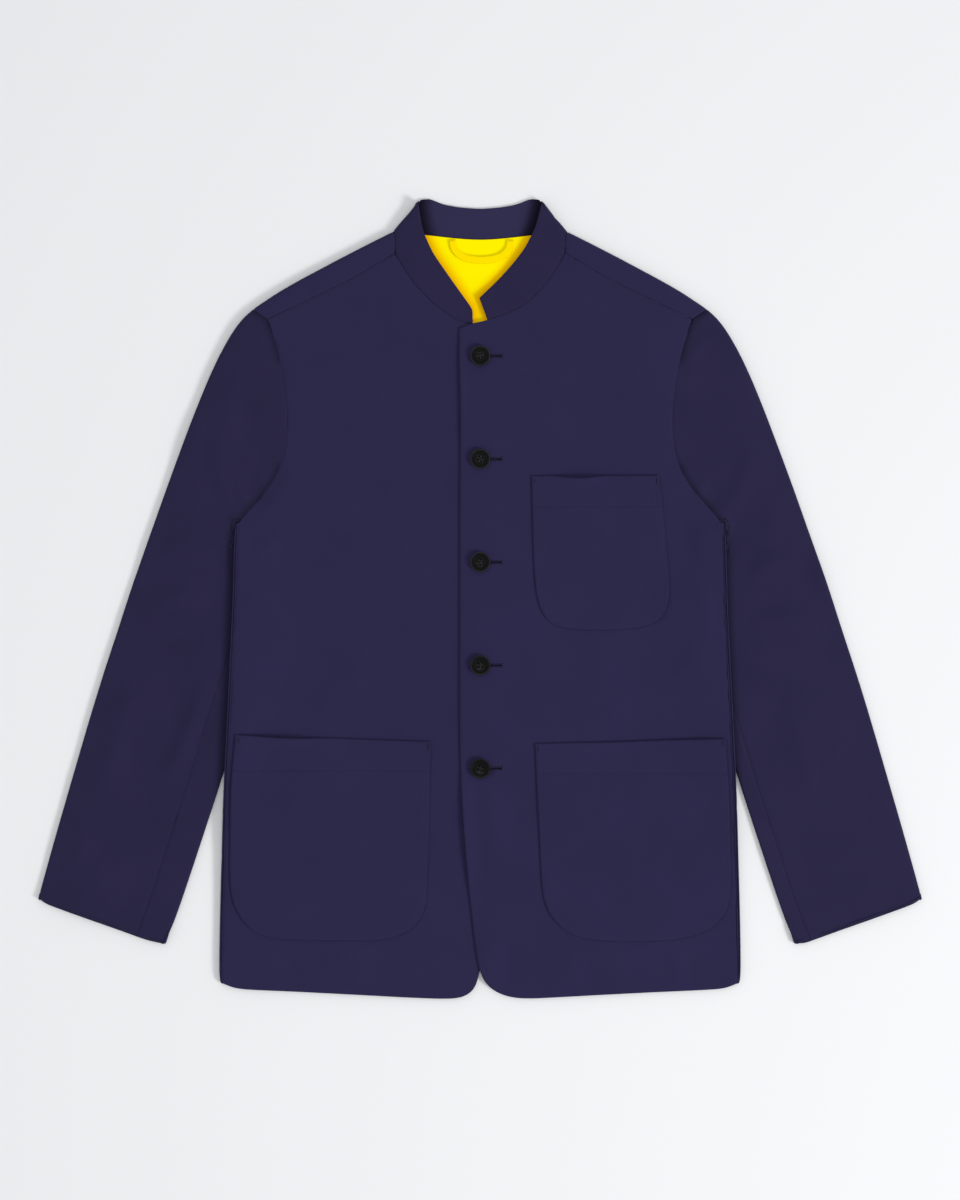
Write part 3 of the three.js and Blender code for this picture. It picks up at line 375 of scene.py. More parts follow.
def panel_faces(bm):
    """The faces of the cloth's two sides. What is left is the rim, across the cloth's thickness."""
    waiting = set(bm.faces)
    whole = sum(f.calc_area() for f in waiting)
    stretches = []
    while waiting:
        side = {waiting.pop()}
        front = list(side)
        while front:
            face = front.pop()
            beside = {f for e in face.edges if not is_cut(e) for f in e.link_faces}
            new = beside & waiting
            waiting -= new
            side |= new
            front.extend(new)
        stretches.append((sum(f.calc_area() for f in side), side))
    stretches.sort(key=lambda stretch: -stretch[0])
    panels, covered = set(), 0.0
    for area, side in stretches:
        if covered < PANEL_SHARE * whole:
            panels |= side
            covered += area
    return panels


def new_piece(name, mesh, material):
    piece = bpy.data.objects.new(name, mesh)
    bpy.context.scene.collection.objects.link(piece)
    mesh.materials.clear()
    mesh.materials.append(material)
    return piece


def apply_modifier(piece, kind, **settings):
    """Adds a modifier to a piece and applies it, as the button in the Modifiers tab does."""
    bpy.ops.object.select_all(action="DESELECT")
    piece.select_set(True)
    bpy.context.view_layer.objects.active = piece
    modifier = piece.modifiers.new(kind.lower(), kind)
    for key, value in settings.items():
        setattr(modifier, key, value)
    bpy.ops.object.modifier_apply(modifier=modifier.name)
    piece.select_set(False)


SEAM_CORNERS = ((212.5, 280.5), (238.5, 80.5), (85.2, 346.8))
CORNER_REACH = 2.6 * MM


def at_seam_corner(point):
    offsets = [(abs(point.x) - x * MM, point.y - y * MM) for x, y in SEAM_CORNERS]
    return any(abs(across) < CORNER_REACH and abs(up) < CORNER_REACH for across, up in offsets)


def smooth_cloth(name, bm, material, strip=EDGE_STRIP, levels=SMOOTH_LEVELS):
    """Insets the strip along the cut edges, creases them and smooths the piece.

    The corners at which three pieces meet keep their point, so that no hole opens between them.
    """
    panels = panel_faces(bm)
    if strip:
        bmesh.ops.inset_region(bm, faces=list(panels), thickness=strip, use_even_offset=False)
        panels = panel_faces(bm)
    crease = bm.edges.layers.float.new("crease_edge")
    for edge in bm.edges:
        sides = sum(f in panels for f in edge.link_faces)
        if sides == 1 or (sides == 0 and is_cut(edge)):
            edge[crease] = 1.0
    corner = bm.verts.layers.float.new("crease_vert")
    for vertex in bm.verts:
        if at_seam_corner(vertex.co) and any(edge[crease] for edge in vertex.link_edges):
            vertex[corner] = 1.0
    mesh = bpy.data.meshes.new(name)
    bm.to_mesh(mesh)
    bm.free()
    if "custom_normal" in mesh.attributes:
        mesh.attributes.remove(mesh.attributes["custom_normal"])
    mesh.polygons.foreach_set("use_smooth", [True] * len(mesh.polygons))
    piece = new_piece(name, mesh, material)
    apply_modifier(piece, "SUBSURF", levels=levels, render_levels=levels)
    return piece


def triangle_count(piece):
    return sum(len(p.vertices) - 2 for p in piece.data.polygons)


print("a welded front has", len(square_mesh("front_right").faces), "faces")

# %% [markdown]
# ## Buttonholes, closed while the cloth is smoothed
#
# The left front's five keyholes break up the faces round them, and smoothing such faces leaves dents. So
# each hole is filled and its corners dissolved, which gives back the plain faces, and the holes are cut
# again with Boolean modifiers once the cloth has its final shape.

# %% Fill the left front's holes
BUTTONS = [f"button_{n}" for n in range(1, 6)]
SHANK_SPACE = 1.9 * MM
SLIT_WIDTH = 1.2 * MM
SLIT_LENGTH = 21.2 * MM
HOLE_ROWS = 40 * MM


def middle(node):
    low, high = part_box(node)
    return (low + high) / 2


button_middles = [middle(name) for name in BUTTONS]


def fill_keyholes(bm):
    """Deletes each keyhole's wall, fills both openings and dissolves the corners that the hole made."""
    for centre in button_middles:
        def at_hole(point):
            beside = abs(point.y - centre.y) < SHANK_SPACE + 0.2 * MM
            return beside and -2.2 * MM < point.x - centre.x < SLIT_LENGTH + 0.3 * MM

        wall = [f for f in bm.faces if abs(f.normal.z) < 0.3 and all(at_hole(v.co) for v in f.verts)]
        ring = {v for f in wall for v in f.verts}
        bmesh.ops.delete(bm, geom=wall, context="FACES_ONLY")
        open_edges = [e for e in bm.edges if e.is_boundary and set(e.verts) <= ring]
        bmesh.ops.holes_fill(bm, edges=open_edges, sides=0)
        bmesh.ops.dissolve_verts(bm, verts=[v for v in ring if v.is_valid])
        near = [f for f in bm.faces if abs(f.calc_center_median().y - centre.y) < HOLE_ROWS]
        for face in [f for f in near if len(f.verts) > 4]:
            split_columns(bm, face, centre.y)
    print("filled holes leave", sum(len(f.verts) > 4 for f in bm.faces), "faces with over four sides")


def split_columns(bm, face, middle_y):
    """Cuts a wide face back into columns, between its upper and lower corners."""
    upper = sorted((v for v in face.verts if v.co.y > middle_y), key=lambda v: v.co.x)
    lower = sorted((v for v in face.verts if v.co.y <= middle_y), key=lambda v: v.co.x)
    if len(upper) != len(lower):
        return
    pieces = [face]
    for top, bottom in list(zip(upper, lower))[1:-1]:
        target = next(f for f in pieces if top in f.verts and bottom in f.verts)
        new, _ = bmesh.utils.face_split(target, top, bottom)
        pieces.append(new)


# %% [markdown]
# ## Folds, listed one by one
#
# The jacket lies nearly flat, so its folds are low: a few pulls from the underarms, soft breaks at the
# elbows, a wave here and there, and on the hidden back similar ones. Each fold is a row of a table: where
# it starts and ends, how far it bows, its width and its height, in millimetres. A fold is a ridge with a
# shallow trough beside it, and a negative height turns it over: two such rows are the hollows above gaping
# pocket mouths. A slow unevenness is added all over.

# %% Tables of folds


def table(columns, rows):
    names = columns.split()
    return [dict(zip(names, row)) for row in rows]


FOLD_COLUMNS = "x0 y0 x1 y1 bow width height"
FRONT_FOLDS = table(FOLD_COLUMNS, [
    (-226, 60, -178, 132, 4, 11, 1.3),
    (-232, 34, -196, 82, -3, 9, 0.9),
    (-118, 246, -186, 214, 5, 13, 0.9),
    (-120, -40, -150, -128, 6, 17, 0.8),
    (-60, 150, -84, 30, -6, 20, 0.7),
    (-215, -350, -196, -386, 2, 8, 0.7),
    (-128, -348, -122, -392, 2, 10, 0.6),
    (228, 52, 196, 98, -4, 10, 1.1),
    (216, 18, 232, -40, 3, 11, 0.9),
    (196, 150, 150, 196, -5, 13, 0.8),
    (30, 70, 44, -60, 5, 16, 0.7),
    (108, -52, 150, -120, -6, 15, 0.8),
    (72, 128.5, 128, 128.5, 0, 3.5, -0.9),
    (-242, -131.5, -150, -134.5, 0, 3.5, -0.8),
    (96, -346, 92, -392, -2, 10, 0.6),
    (188, -346, 200, -388, 2, 9, 0.7),
])
FRONT_EDGE_LIFT = table(FOLD_COLUMNS, [
    (-19, -170, -13, -300, 0, 9, 1.8),
    (-19, 150, -22, 268, 0, 7, 0.9),
    (4, -330, 20, -392, 0, 10, 0.8),
])
RIGHT_SLEEVE_FOLDS = table(FOLD_COLUMNS, [
    (-274, -78, -318, -184, 4, 9, 1.7),
    (-214, 86, -232, 132, 3, 7, -1.5),
    (-244, 88, -262, 168, 6, 9, 1.1),
    (-232, 150, -226, 232, 4, 11, -0.9),
    (-262, 34, -314, 60, -4, 10, 1.2),
    (-268, -4, -330, 2, -5, 9, 1.3),
    (-276, -40, -352, -34, 4, 9, -1.0),
    (-300, 130, -282, 196, -4, 14, 0.8),
    (-352, -86, -386, -190, 5, 12, 0.9),
    (-318, -250, -402, -268, 5, 13, 0.9),
    (-392, -226, -418, -282, 3, 9, 0.7),
])
LEFT_SLEEVE_FOLDS = table(FOLD_COLUMNS, [
    (222, 90, 236, 126, -3, 7, -1.3),
    (246, 84, 268, 150, -5, 9, 1.0),
    (334, 66, 356, -14, -3, 9, 1.3),
    (266, 20, 318, 42, 4, 10, 1.1),
    (270, -22, 338, -30, 5, 10, 1.2),
    (284, -62, 352, -84, -4, 9, -0.9),
    (268, 176, 292, 108, -4, 13, 0.8),
    (206, 226, 226, 262, 3, 8, 0.8),
    (318, -120, 340, -216, -5, 11, 0.9),
    (330, -262, 408, -236, -4, 13, 0.9),
])
BACK_FOLDS = table(FOLD_COLUMNS, [
    (-10, 230, -30, 40, 8, 22, 0.6),
    (30, 180, 48, -20, -8, 20, 0.5),
    (-178, 60, -120, 150, 6, 14, 0.6),
    (176, 40, 128, 138, -6, 14, 0.6),
    (-90, -120, -110, -300, 8, 20, 0.5),
    (92, -100, 120, -290, -9, 22, 0.5),
])
UNDER_SLEEVE_FOLDS = table(FOLD_COLUMNS, [
    (-290, 20, -346, -10, 4, 12, 0.5),
    (-300, -60, -360, -84, 4, 12, 0.5),
    (-330, -170, -372, -240, 5, 14, 0.5),
    (292, 30, 348, -4, -4, 12, 0.5),
    (304, -50, 364, -92, -4, 12, 0.5),
    (336, -180, 366, -250, -5, 14, 0.5),
])
print("folds on the fronts:", len(FRONT_FOLDS))
print("folds on the sleeves:", len(RIGHT_SLEEVE_FOLDS) + len(LEFT_SLEEVE_FOLDS))

# %% Shape functions on arrays of points
FOLD_STRENGTH = 1.5
TROUGH_SHARE = 0.45
TROUGH_PLACE = 1.7


def ease(t):
    t = np.clip(t, 0, 1)
    return t * t * (3 - 2 * t)


def fold_rise(x, y, folds):
    """Height in mm that the folds add at points given in mm."""
    rise = np.zeros_like(x)
    for fold in folds:
        start = np.array([fold["x0"], fold["y0"]], float)
        run = np.array([fold["x1"], fold["y1"]], float) - start
        length = np.hypot(*run)
        way = run / length
        t = ((x - start[0]) * way[0] + (y - start[1]) * way[1]) / length
        inside = np.clip(t, 0, 1)
        side = (x - start[0]) * -way[1] + (y - start[1]) * way[0]
        off = (side - 4 * fold["bow"] * inside * (1 - inside)) / fold["width"]
        shape = np.exp(-(off**2)) - TROUGH_SHARE * np.exp(-((off - TROUGH_PLACE) ** 2))
        rise += FOLD_STRENGTH * fold["height"] * shape * np.sin(np.pi * inside) ** 0.8
    return rise


def unevenness(x, y, seed, wave, height, count=7):
    """A slow irregular wave over the cloth, the same in every run."""
    chance = np.random.default_rng(seed)
    rise = np.zeros_like(x)
    for _ in range(count):
        angle, phase = chance.uniform(0, math.tau, 2)
        turns = math.tau / (wave * chance.uniform(0.7, 1.5))
        rise += np.sin((x * math.cos(angle) + y * math.sin(angle)) * turns + phase)
    return rise * height / math.sqrt(count)


def read_points(piece):
    points = np.empty(3 * len(piece.data.vertices))
    piece.data.vertices.foreach_get("co", points)
    return points.reshape(-1, 3)


def write_points(piece, points):
    piece.data.vertices.foreach_set("co", points.ravel())
    piece.data.update()


def read_normals(piece):
    normals = np.empty(3 * len(piece.data.vertices))
    piece.data.vertex_normals.foreach_get("vector", normals)
    return normals.reshape(-1, 3)


print("a fold's trough is", TROUGH_SHARE, "of its height deep")

# %% Cut edges and the distance to them
EDGE_SAMPLES = (0.0, 0.17, 0.33, 0.5, 0.67, 0.83)


def cut_line(piece):
    """Points spaced along a piece's cut edges, which its creases mark, and whether each is on top."""
    mesh = piece.data
    creases = np.empty(len(mesh.edges))
    mesh.attributes["crease_edge"].data.foreach_get("value", creases)
    points = read_points(piece)
    ends = np.empty(2 * len(mesh.edges), int)
    mesh.edges.foreach_get("vertices", ends)
    ends = ends.reshape(-1, 2)[creases > 0.99]
    samples = [points[ends[:, 0]] * (1 - t) + points[ends[:, 1]] * t for t in EDGE_SAMPLES]
    is_upper = read_normals(piece)[ends[:, 0], 2] > 0
    return np.concatenate(samples), np.tile(is_upper, len(EDGE_SAMPLES))


def nearest(samples, points):
    """For each point the number of the nearest sample and the distance to it in mm."""
    tree = KDTree(len(samples))
    for i, sample in enumerate(samples):
        tree.insert(sample, i)
    tree.balance()
    found = [tree.find(point) for point in points]
    return np.array([f[1] for f in found]), np.array([f[2] for f in found]) / MM


def distance_to_cuts(piece):
    return nearest(cut_line(piece)[0], read_points(piece))[1]


ROLL_DEPTH = 0.5
ROLL_WIDTH = 2.2
PUCKER_FROM = 2.5
PUCKER_REACH = 9.0
PUCKER_HEIGHT = 0.16
PUCKER_WAVE = 9.0


def roll_and_pucker(piece, depth=ROLL_DEPTH, pucker=PUCKER_HEIGHT, seed=1):
    """Thins the cloth towards its cut edges, as a turned edge is rolled, and puckers it along them."""
    away = distance_to_cuts(piece)
    points, normals = read_points(piece), read_normals(piece)
    inwards = depth * MM * (1 - ease(away / ROLL_WIDTH))
    points -= normals * inwards[:, None]
    wave = unevenness(points[:, 0] / MM, points[:, 1] / MM, seed, PUCKER_WAVE, pucker)
    points[:, 2] += wave * MM * ease(1 - away / PUCKER_REACH) * ease(away / PUCKER_FROM)
    write_points(piece, points)


print("an edge is rolled over", ROLL_WIDTH, "mm and puckered over", PUCKER_REACH, "mm")

# %% [markdown]
# ## The body: back and fronts
#
# The back is one piece from the hem over the shoulders to the forward shoulder seams. The fronts meet it
# there and at the side folds. All three take the same folds at the same place, so that layers never cross:
# the rise depends only on X and Y. It fades out at the sides, where the cloth turns under, and at the neck,
# where the lining lies close below.

# %% Rise of the body's upper layer
SIDE_FADE_FROM = 228
SIDE_FADE_WIDTH = 16
NECK_FADE_FROM_Y = 226
NECK_FADE_LENGTH = 24
NECK_FADE_HALF = 105
NECK_FADE_WIDTH = 30
DEEPEST_BODY_TROUGH = -1.1


def body_rise(x, y):
    rise = fold_rise(x, y, FRONT_FOLDS) + unevenness(x, y, 3, 95, 0.3) + unevenness(x, y, 8, 34, 0.07)
    side = ease((SIDE_FADE_FROM + SIDE_FADE_WIDTH - np.abs(x)) / SIDE_FADE_WIDTH)
    beside_neck = ease((NECK_FADE_HALF - np.abs(x)) / NECK_FADE_WIDTH)
    near_neck = ease((y - NECK_FADE_FROM_Y) / NECK_FADE_LENGTH) * beside_neck
    return np.maximum(rise, DEEPEST_BODY_TROUGH) * side * (1 - near_neck)


def shift(piece, distance_at, axis=2):
    """Moves a piece's points along an axis, upwards if none is named, by a function of X, Y and Z in mm."""
    points = read_points(piece)
    points[:, axis] += distance_at(*(points / MM).T) * MM
    write_points(piece, points)


pieces = {}
edge_lines = {}


def finish_cloth(piece, node):
    edge_lines.setdefault(node, cut_line(piece))
    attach(piece, "root")
    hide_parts(node)
    pieces[node] = piece
    print(piece.name, triangle_count(piece), "triangles")


# %% Right front
front_right = smooth_cloth("front_right_cloth", square_mesh("front_right"), navy_body)
roll_and_pucker(front_right, seed=11)
shift(front_right, lambda x, y, z: body_rise(x, y))
finish_cloth(front_right, "front_right")

# %% Left front, with its edge lifted a little
left_mesh = square_mesh("front_left")
fill_keyholes(left_mesh)
front_left = smooth_cloth("front_left_cloth", left_mesh, navy_body)
roll_and_pucker(front_left, seed=12)
shift(front_left, lambda x, y, z: body_rise(x, y) + fold_rise(x, y, FRONT_EDGE_LIFT))
edge_lines["front_left"] = cut_line(front_left)
print("front_left has", len(edge_lines["front_left"][0]), "points on its cut edges")

# %% Cut the five keyholes
DRILL_DEPTH = 30 * MM

for centre in button_middles:
    bpy.ops.object.select_all(action="DESELECT")
    bpy.ops.mesh.primitive_cylinder_add(vertices=20, radius=SHANK_SPACE, depth=DRILL_DEPTH, location=centre)
    eyelet = bpy.context.object
    slit_middle = centre + Vector((SLIT_LENGTH / 2, 0, 0))
    slit_size = (SLIT_LENGTH, SLIT_WIDTH, DRILL_DEPTH)
    bpy.ops.mesh.primitive_cube_add(size=1, location=slit_middle, scale=slit_size)
    slit = bpy.context.object
    for cutter in (eyelet, slit):
        apply_modifier(front_left, "BOOLEAN", operation="DIFFERENCE", object=cutter, solver="FAST")
        bpy.data.objects.remove(cutter)
finish_cloth(front_left, "front_left")

# %% Back, with low folds on its hidden side
BACK_LEVELS = 2
SHOULDER_FROM_Z = 2.2


def back_rise(x, y, z):
    upper = ease((z - SHOULDER_FROM_Z) / 2.5) * ease((y - 250) / 20)
    hidden = np.maximum(fold_rise(x, y, BACK_FOLDS) + unevenness(x, y, 5, 80, 0.15) + 0.1, 0)
    inner = ease((215 - np.abs(x)) / 25) * ease((225 - y) / 25) * ease((y + 385) / 20)
    return upper * body_rise(x, y) + hidden * inner


back = smooth_cloth("back_cloth", square_mesh("back_panel"), navy_body, levels=BACK_LEVELS)
roll_and_pucker(back, seed=13)
shift(back, back_rise)
finish_cloth(back, "back_panel")

# %% [markdown]
# ## Sleeves
#
# Each sleeve has an upper and an under piece, which meet at the forearm seam on top and at the elbow seam
# below. The upper layer takes the elbow breaks and the pulls from the underarm. The layer below lies on
# the table and keeps flat apart from a few low folds. Under the body the folds fade, because the body
# lies on the sleeve there. Beside the body's edges a painted shade darkens the sleeve, strongest at the
# edges, and the sleeves' navy is a deeper copy of the body's as painted shade too.

# %% Mark painted shade beside an edge
BODY_SIDE_FROM_X = 200


def mark_shade(piece, samples, reach, most=1.0):
    """Marks painted shade: the most at an edge's samples, seen from above, and none at the reach in mm."""
    _, away = nearest(samples * [1, 1, 0], read_points(piece) * [1, 1, 0])
    marks = piece.data.attributes.new("painted_shade", "FLOAT", "POINT")
    marks.data.foreach_set("value", most * (1 - ease(away / reach)))


body_edges = np.concatenate([edge_lines[node][0] for node in ("front_right", "front_left", "back_panel")])
is_side = (np.abs(body_edges[:, 0]) > BODY_SIDE_FROM_X * MM) & (body_edges[:, 2] > SHOULDER_FROM_Z * MM)
print(is_side.sum(), "points on the body's upper side edges")

# %% Both sleeves
SLEEVE_TOP_FROM_Z = 1.7
SLEEVE_TOP_FADE = 1.7
SLEEVE_BELOW_Z = 1.6
TUCK_FADE_HALF = 252
TUCK_FADE_WIDTH = 22
UNDERARM_FROM_Y = 62
UNDERARM_FADE = 30
DEEPEST_SLEEVE_TROUGH = -1.3
# Painted shade on the sleeves beside the body's side edges: how far it reaches in mm, and its most
SLEEVE_SHADE_REACH = 8
SLEEVE_SHADE = 0.6


def sleeve_rise(folds, seed):
    def rise(x, y, z):
        upper = ease((z - SLEEVE_TOP_FROM_Z) / SLEEVE_TOP_FADE)
        beside_body = ease((np.abs(x) - TUCK_FADE_HALF) / TUCK_FADE_WIDTH)
        clear = np.maximum(beside_body, ease((y - UNDERARM_FROM_Y) / UNDERARM_FADE))
        slow = unevenness(x, y, seed, 70, 0.28) + unevenness(x, y, seed + 1, 26, 0.07)
        above = np.maximum(fold_rise(x, y, folds) + slow, DEEPEST_SLEEVE_TROUGH)
        below = np.maximum(fold_rise(x, y, UNDER_SLEEVE_FOLDS), 0) * (z < SLEEVE_BELOW_Z)
        return above * upper * clear + below * (1 - upper) * clear
    return rise


for side, folds, material, seed in (
    ("right", RIGHT_SLEEVE_FOLDS, navy_right_sleeve, 21),
    ("left", LEFT_SLEEVE_FOLDS, navy_left_sleeve, 31),
):
    for part in ("upper", "under"):
        node = f"sleeve_{side}_{part}"
        sleeve = smooth_cloth(f"{node}_cloth", square_mesh(node), material)
        roll_and_pucker(sleeve, seed=seed + 5)
        shift(sleeve, sleeve_rise(folds, seed))
        mark_shade(sleeve, body_edges[is_side], SLEEVE_SHADE_REACH, SLEEVE_SHADE)
        finish_cloth(sleeve, node)

# %% [markdown]
# ## Collar, lining and hanger loop
#
# The stand collar is one folded band: both wings stand up from the necklines, and the back shows its inner
# side, painted a paler navy as painted light. It is fused, so it stays smooth. The back's top edge is drawn
# up towards the wings' folds, so that each fold ends in a rounded ear. The lining shows only in the neck,
# where the loop hangs from the collar seam. Painted shade darkens the collar's inner side and the lining
# under the wings, and the loop's yellow is deepened towards orange as painted shade.

# %% Collar
COLLAR_LEVELS = 2
WING_FROM_Z = 4.5
INNER_BELOW_Z = 4.2
INNER_FROM_Y = 345
EAR_RISE = 2.1
EAR_FROM_X = 32
EAR_TO_X = 53
EAR_END_X = 62.5
BACK_EDGE_RISE = 1.2
BACK_EDGE_FROM_Y = 378
BACK_EDGE_HEIGHT = 12
BACK_TOP_Z = 3.4


def paint_shade_under_wings(piece, reach):
    """Marks painted shade on a piece under the collar's wings, the most at their edges and none at the
    reach.
    """
    samples, _ = edge_lines["collar_stand"]
    mark_shade(piece, samples[samples[:, 2] > WING_FROM_Z * MM], reach)


def ear_rise(x, y, z):
    """How far the back's top edge is drawn up, the most beside the wings' folds."""
    x = np.abs(x)
    rise = BACK_EDGE_RISE + EAR_RISE * ease((x - EAR_FROM_X) / (EAR_TO_X - EAR_FROM_X))
    near_edge = ease((y - BACK_EDGE_FROM_Y) / BACK_EDGE_HEIGHT)
    return rise * near_edge * (1 - ease((z - BACK_TOP_Z) / 1.6)) * ease((EAR_END_X - x) / 4)


collar = smooth_cloth("collar_cloth", square_mesh("collar_stand"), navy_collar, levels=COLLAR_LEVELS)
roll_and_pucker(collar, pucker=0.05, seed=41)
shift(collar, ear_rise, axis=1)
# Painted light: the inner side's faces in the neck take a paler copy of the navy
collar.data.materials.append(navy_inside_painted_lit)
for face in collar.data.polygons:
    in_neck = face.center.z < INNER_BELOW_Z * MM and face.center.y > INNER_FROM_Y * MM
    face.material_index = 1 if in_neck and face.normal.z > 0.2 else 0
finish_cloth(collar, "collar_stand")
# Painted shade darkens the collar's inner side under the wings
paint_shade_under_wings(collar, 17)

# %% Lining and loop
LINING_FOLDS = table(FOLD_COLUMNS, [
    (-3, 296, 2, 276, 1, 3.0, -0.25),
    (7, 298, 9, 274, 1, 3.0, -0.2),
    (-30, 330, 24, 330, -7, 6, -0.3),
])


def lining_rise(x, y, z):
    return np.minimum(fold_rise(x, y, LINING_FOLDS) + unevenness(x, y, 44, 30, 0.06), 0.12)


lining = smooth_cloth("lining_cloth", square_mesh("lining_back"), lining_satin)
shift(lining, lining_rise)
finish_cloth(lining, "lining_back")
# Painted shade darkens the lining under the wings
paint_shade_under_wings(lining, 13)

loop = smooth_cloth("hanger_loop_tape", square_mesh("hanger_loop"), loop_satin, strip=0, levels=2)
shift(loop, lambda x, y, z: 0.5 * ease((358 - y) / 16))
finish_cloth(loop, "hanger_loop")

# %% [markdown]
# ## Pockets
#
# The three patch pockets lie on the fronts and take the same folds. Before they are smoothed, a few rows
# of faces are cut in along the facing stitch line, so that the stitches can pull a narrow groove there.
# A faint ridge runs inside the side edges, where the turned allowance shows through. The lips of the mouths
# rise and sag where they gape.

# %% Three patch pockets
GROOVE_DEPTH = 0.35
GROOVE_HALF = 1.4
ALLOWANCE = 8.5
RIDGE_HEIGHT = 0.12
RIDGE_HALF = 1.6
POCKET_LINES = {"pocket_chest": 93.8, "pocket_right": -170.3, "pocket_left": -173.5}
POCKET_CORNERS = {
    "pocket_chest": ((51.5, 124.2), (179.5, 124.8)),
    "pocket_right": ((-244, -134.5), (-49, -141.5)),
    "pocket_left": ((55, -143.5), (245.5, -138.4)),
}
# Where each mouth gapes: from and to this X, how high its lip rises and how far it sags, in mm
GAPES = {
    "pocket_chest": (72, 128, 2.6, 2.4),
    "pocket_right": (-242, -146, 2.0, 1.6),
    "pocket_left": (84, 176, 0.9, 0.5),
}
LIP_REACH = 16
LIP_LIFT = 0.3


def open_mouth(node, points):
    """Lifts and lowers the pocket's lip where its mouth gapes."""
    x, y = points[:, 0] / MM, points[:, 1] / MM
    (x0, y0), (x1, y1) = POCKET_CORNERS[node]
    mouth = y0 + (y1 - y0) * (x - x0) / (x1 - x0)
    start, end, rise, sag = GAPES[node]
    gape = np.sin(np.pi * np.clip((x - start) / (end - start), 0, 1)) ** 1.5
    near = ease(1 - (mouth - y) / LIP_REACH)
    points[:, 2] += (LIP_LIFT + rise * gape) * near**2 * MM
    points[:, 1] -= sag * gape * near**2 * MM


def cut_rows(bm, y_mm):
    """Cuts three rows across a piece, round a stitch line."""
    for offset in (-2 * GROOVE_HALF, 0, 2 * GROOVE_HALF):
        everything = bm.verts[:] + bm.edges[:] + bm.faces[:]
        place = (0, (y_mm + offset) * MM, 0)
        bmesh.ops.bisect_plane(bm, geom=everything, dist=WELD, plane_co=place, plane_no=(0, 1, 0))


for seed, (node, line) in enumerate(POCKET_LINES.items(), start=51):
    bm = square_mesh(node)
    cut_rows(bm, line)
    pocket = smooth_cloth(f"{node}_cloth", bm, navy_body)
    ridge = RIDGE_HEIGHT * np.exp(-(((distance_to_cuts(pocket) - ALLOWANCE) / RIDGE_HALF) ** 2))
    roll_and_pucker(pocket, seed=seed)
    points = read_points(pocket)
    x, y = points[:, 0] / MM, points[:, 1] / MM
    groove = GROOVE_DEPTH * np.exp(-(((y - line) / GROOVE_HALF) ** 2))
    points[:, 2] += (body_rise(x, y) + ridge - groove) * MM
    open_mouth(node, points)
    write_points(pocket, points)
    finish_cloth(pocket, node)

# %% [markdown]
# ## Sewing the seams shut
#
# The CAD pieces stay a third of a millimetre apart, so that they never touch. In real cloth a seam is
# closed below, with only a fine groove above where both edges turn down. So each lower cut edge moves half
# way to the nearest cut edge of another piece and a little past the middle, and the cloth beside it follows.
# The upper edges stay a hair apart, which leaves the groove. No point goes below the table.

# %% Draw the lower cut edges of neighbouring pieces together
SEAM_REACH = 1.7
SEAM_BITE = 0.08
SEAM_STIFF = 0.3
SEAM_SPREAD = 0.9
SEWN = [node for node in pieces if not node.startswith(("pocket", "lining", "hanger"))]


def seam_pull(node):
    """How far each point on a piece's cut edges moves towards its neighbours."""
    own, is_upper = edge_lines[node]
    others = np.concatenate([edge_lines[other][0] for other in SEWN if other != node])
    number, gap = nearest(others, own)
    way = others[number] - own
    share = 0.5 + SEAM_BITE / np.maximum(gap, SEAM_BITE)
    moves = (gap < SEAM_REACH) & ~is_upper
    return np.where(moves[:, None], way * share[:, None], 0)


for node in SEWN:
    pull = seam_pull(node)
    points = read_points(pieces[node])
    number, away = nearest(edge_lines[node][0], points)
    follows = 1 - ease((away - SEAM_STIFF) / SEAM_SPREAD)
    points += pull[number] * follows[:, None]
    points[:, 2] = np.maximum(points[:, 2], 0)
    write_points(pieces[node], points)
    print(node, "has", int(np.any(pull, axis=1).sum()), "sewn edge points")

# %% [markdown]
# ## Easing the sleeves in
#
# The side seam, the armhole and the sleeve's own seams all meet at the underarm. The CAD walls leave a
# narrow slot there, beside the body's side. A tailor eases the sleeve in, so its cloth is drawn a little
# way under the body's side, most in the slot's middle.

# %% Ease the sleeves in at the underarms
UNDERARM_X = 246
UNDERARM_Y = 67
UNDERARM_HALF_WIDTH = 9
UNDERARM_HALF_LENGTH = 20
UNDERARM_EASE = 2.6


def underarm_ease(x, y, z):
    """How far the sleeve is drawn in towards the body, to either side."""
    across = (np.abs(x) - UNDERARM_X) / UNDERARM_HALF_WIDTH
    along = (y - UNDERARM_Y) / UNDERARM_HALF_LENGTH
    return -np.sign(x) * UNDERARM_EASE * ease(1 - np.hypot(across, along))


for node in [node for node in pieces if node.startswith("sleeve")]:
    shift(pieces[node], underarm_ease, axis=0)
print("the sleeves are eased in by up to", UNDERARM_EASE, "mm")

# %% [markdown]
# ## Buttons
#
# A tailored front closes with four-hole resin buttons. Each has a rounded rim, a shallow dish, a thread
# crossed through its holes and a wound thread shank that passes through the keyhole to the other front. One
# button is modelled with inset, move and bevel, its holes are cut by a Boolean, and five copies are made.

# %% Helpers that select faces and edges, and place what is made


def select_faces(test):
    """In edit mode, selects the faces that pass the test and nothing else."""
    bpy.ops.mesh.select_mode(type="FACE")
    bm = bmesh.from_edit_mesh(bpy.context.object.data)
    for face in bm.faces:
        face.select_set(bool(test(face)))
    bm.select_flush_mode()
    bmesh.update_edit_mesh(bpy.context.object.data)


def start_model(name):
    """Names the primitive that was just added and opens it in edit mode."""
    bpy.context.object.name = name
    bpy.ops.object.mode_set(mode="EDIT")
    return bpy.context.object


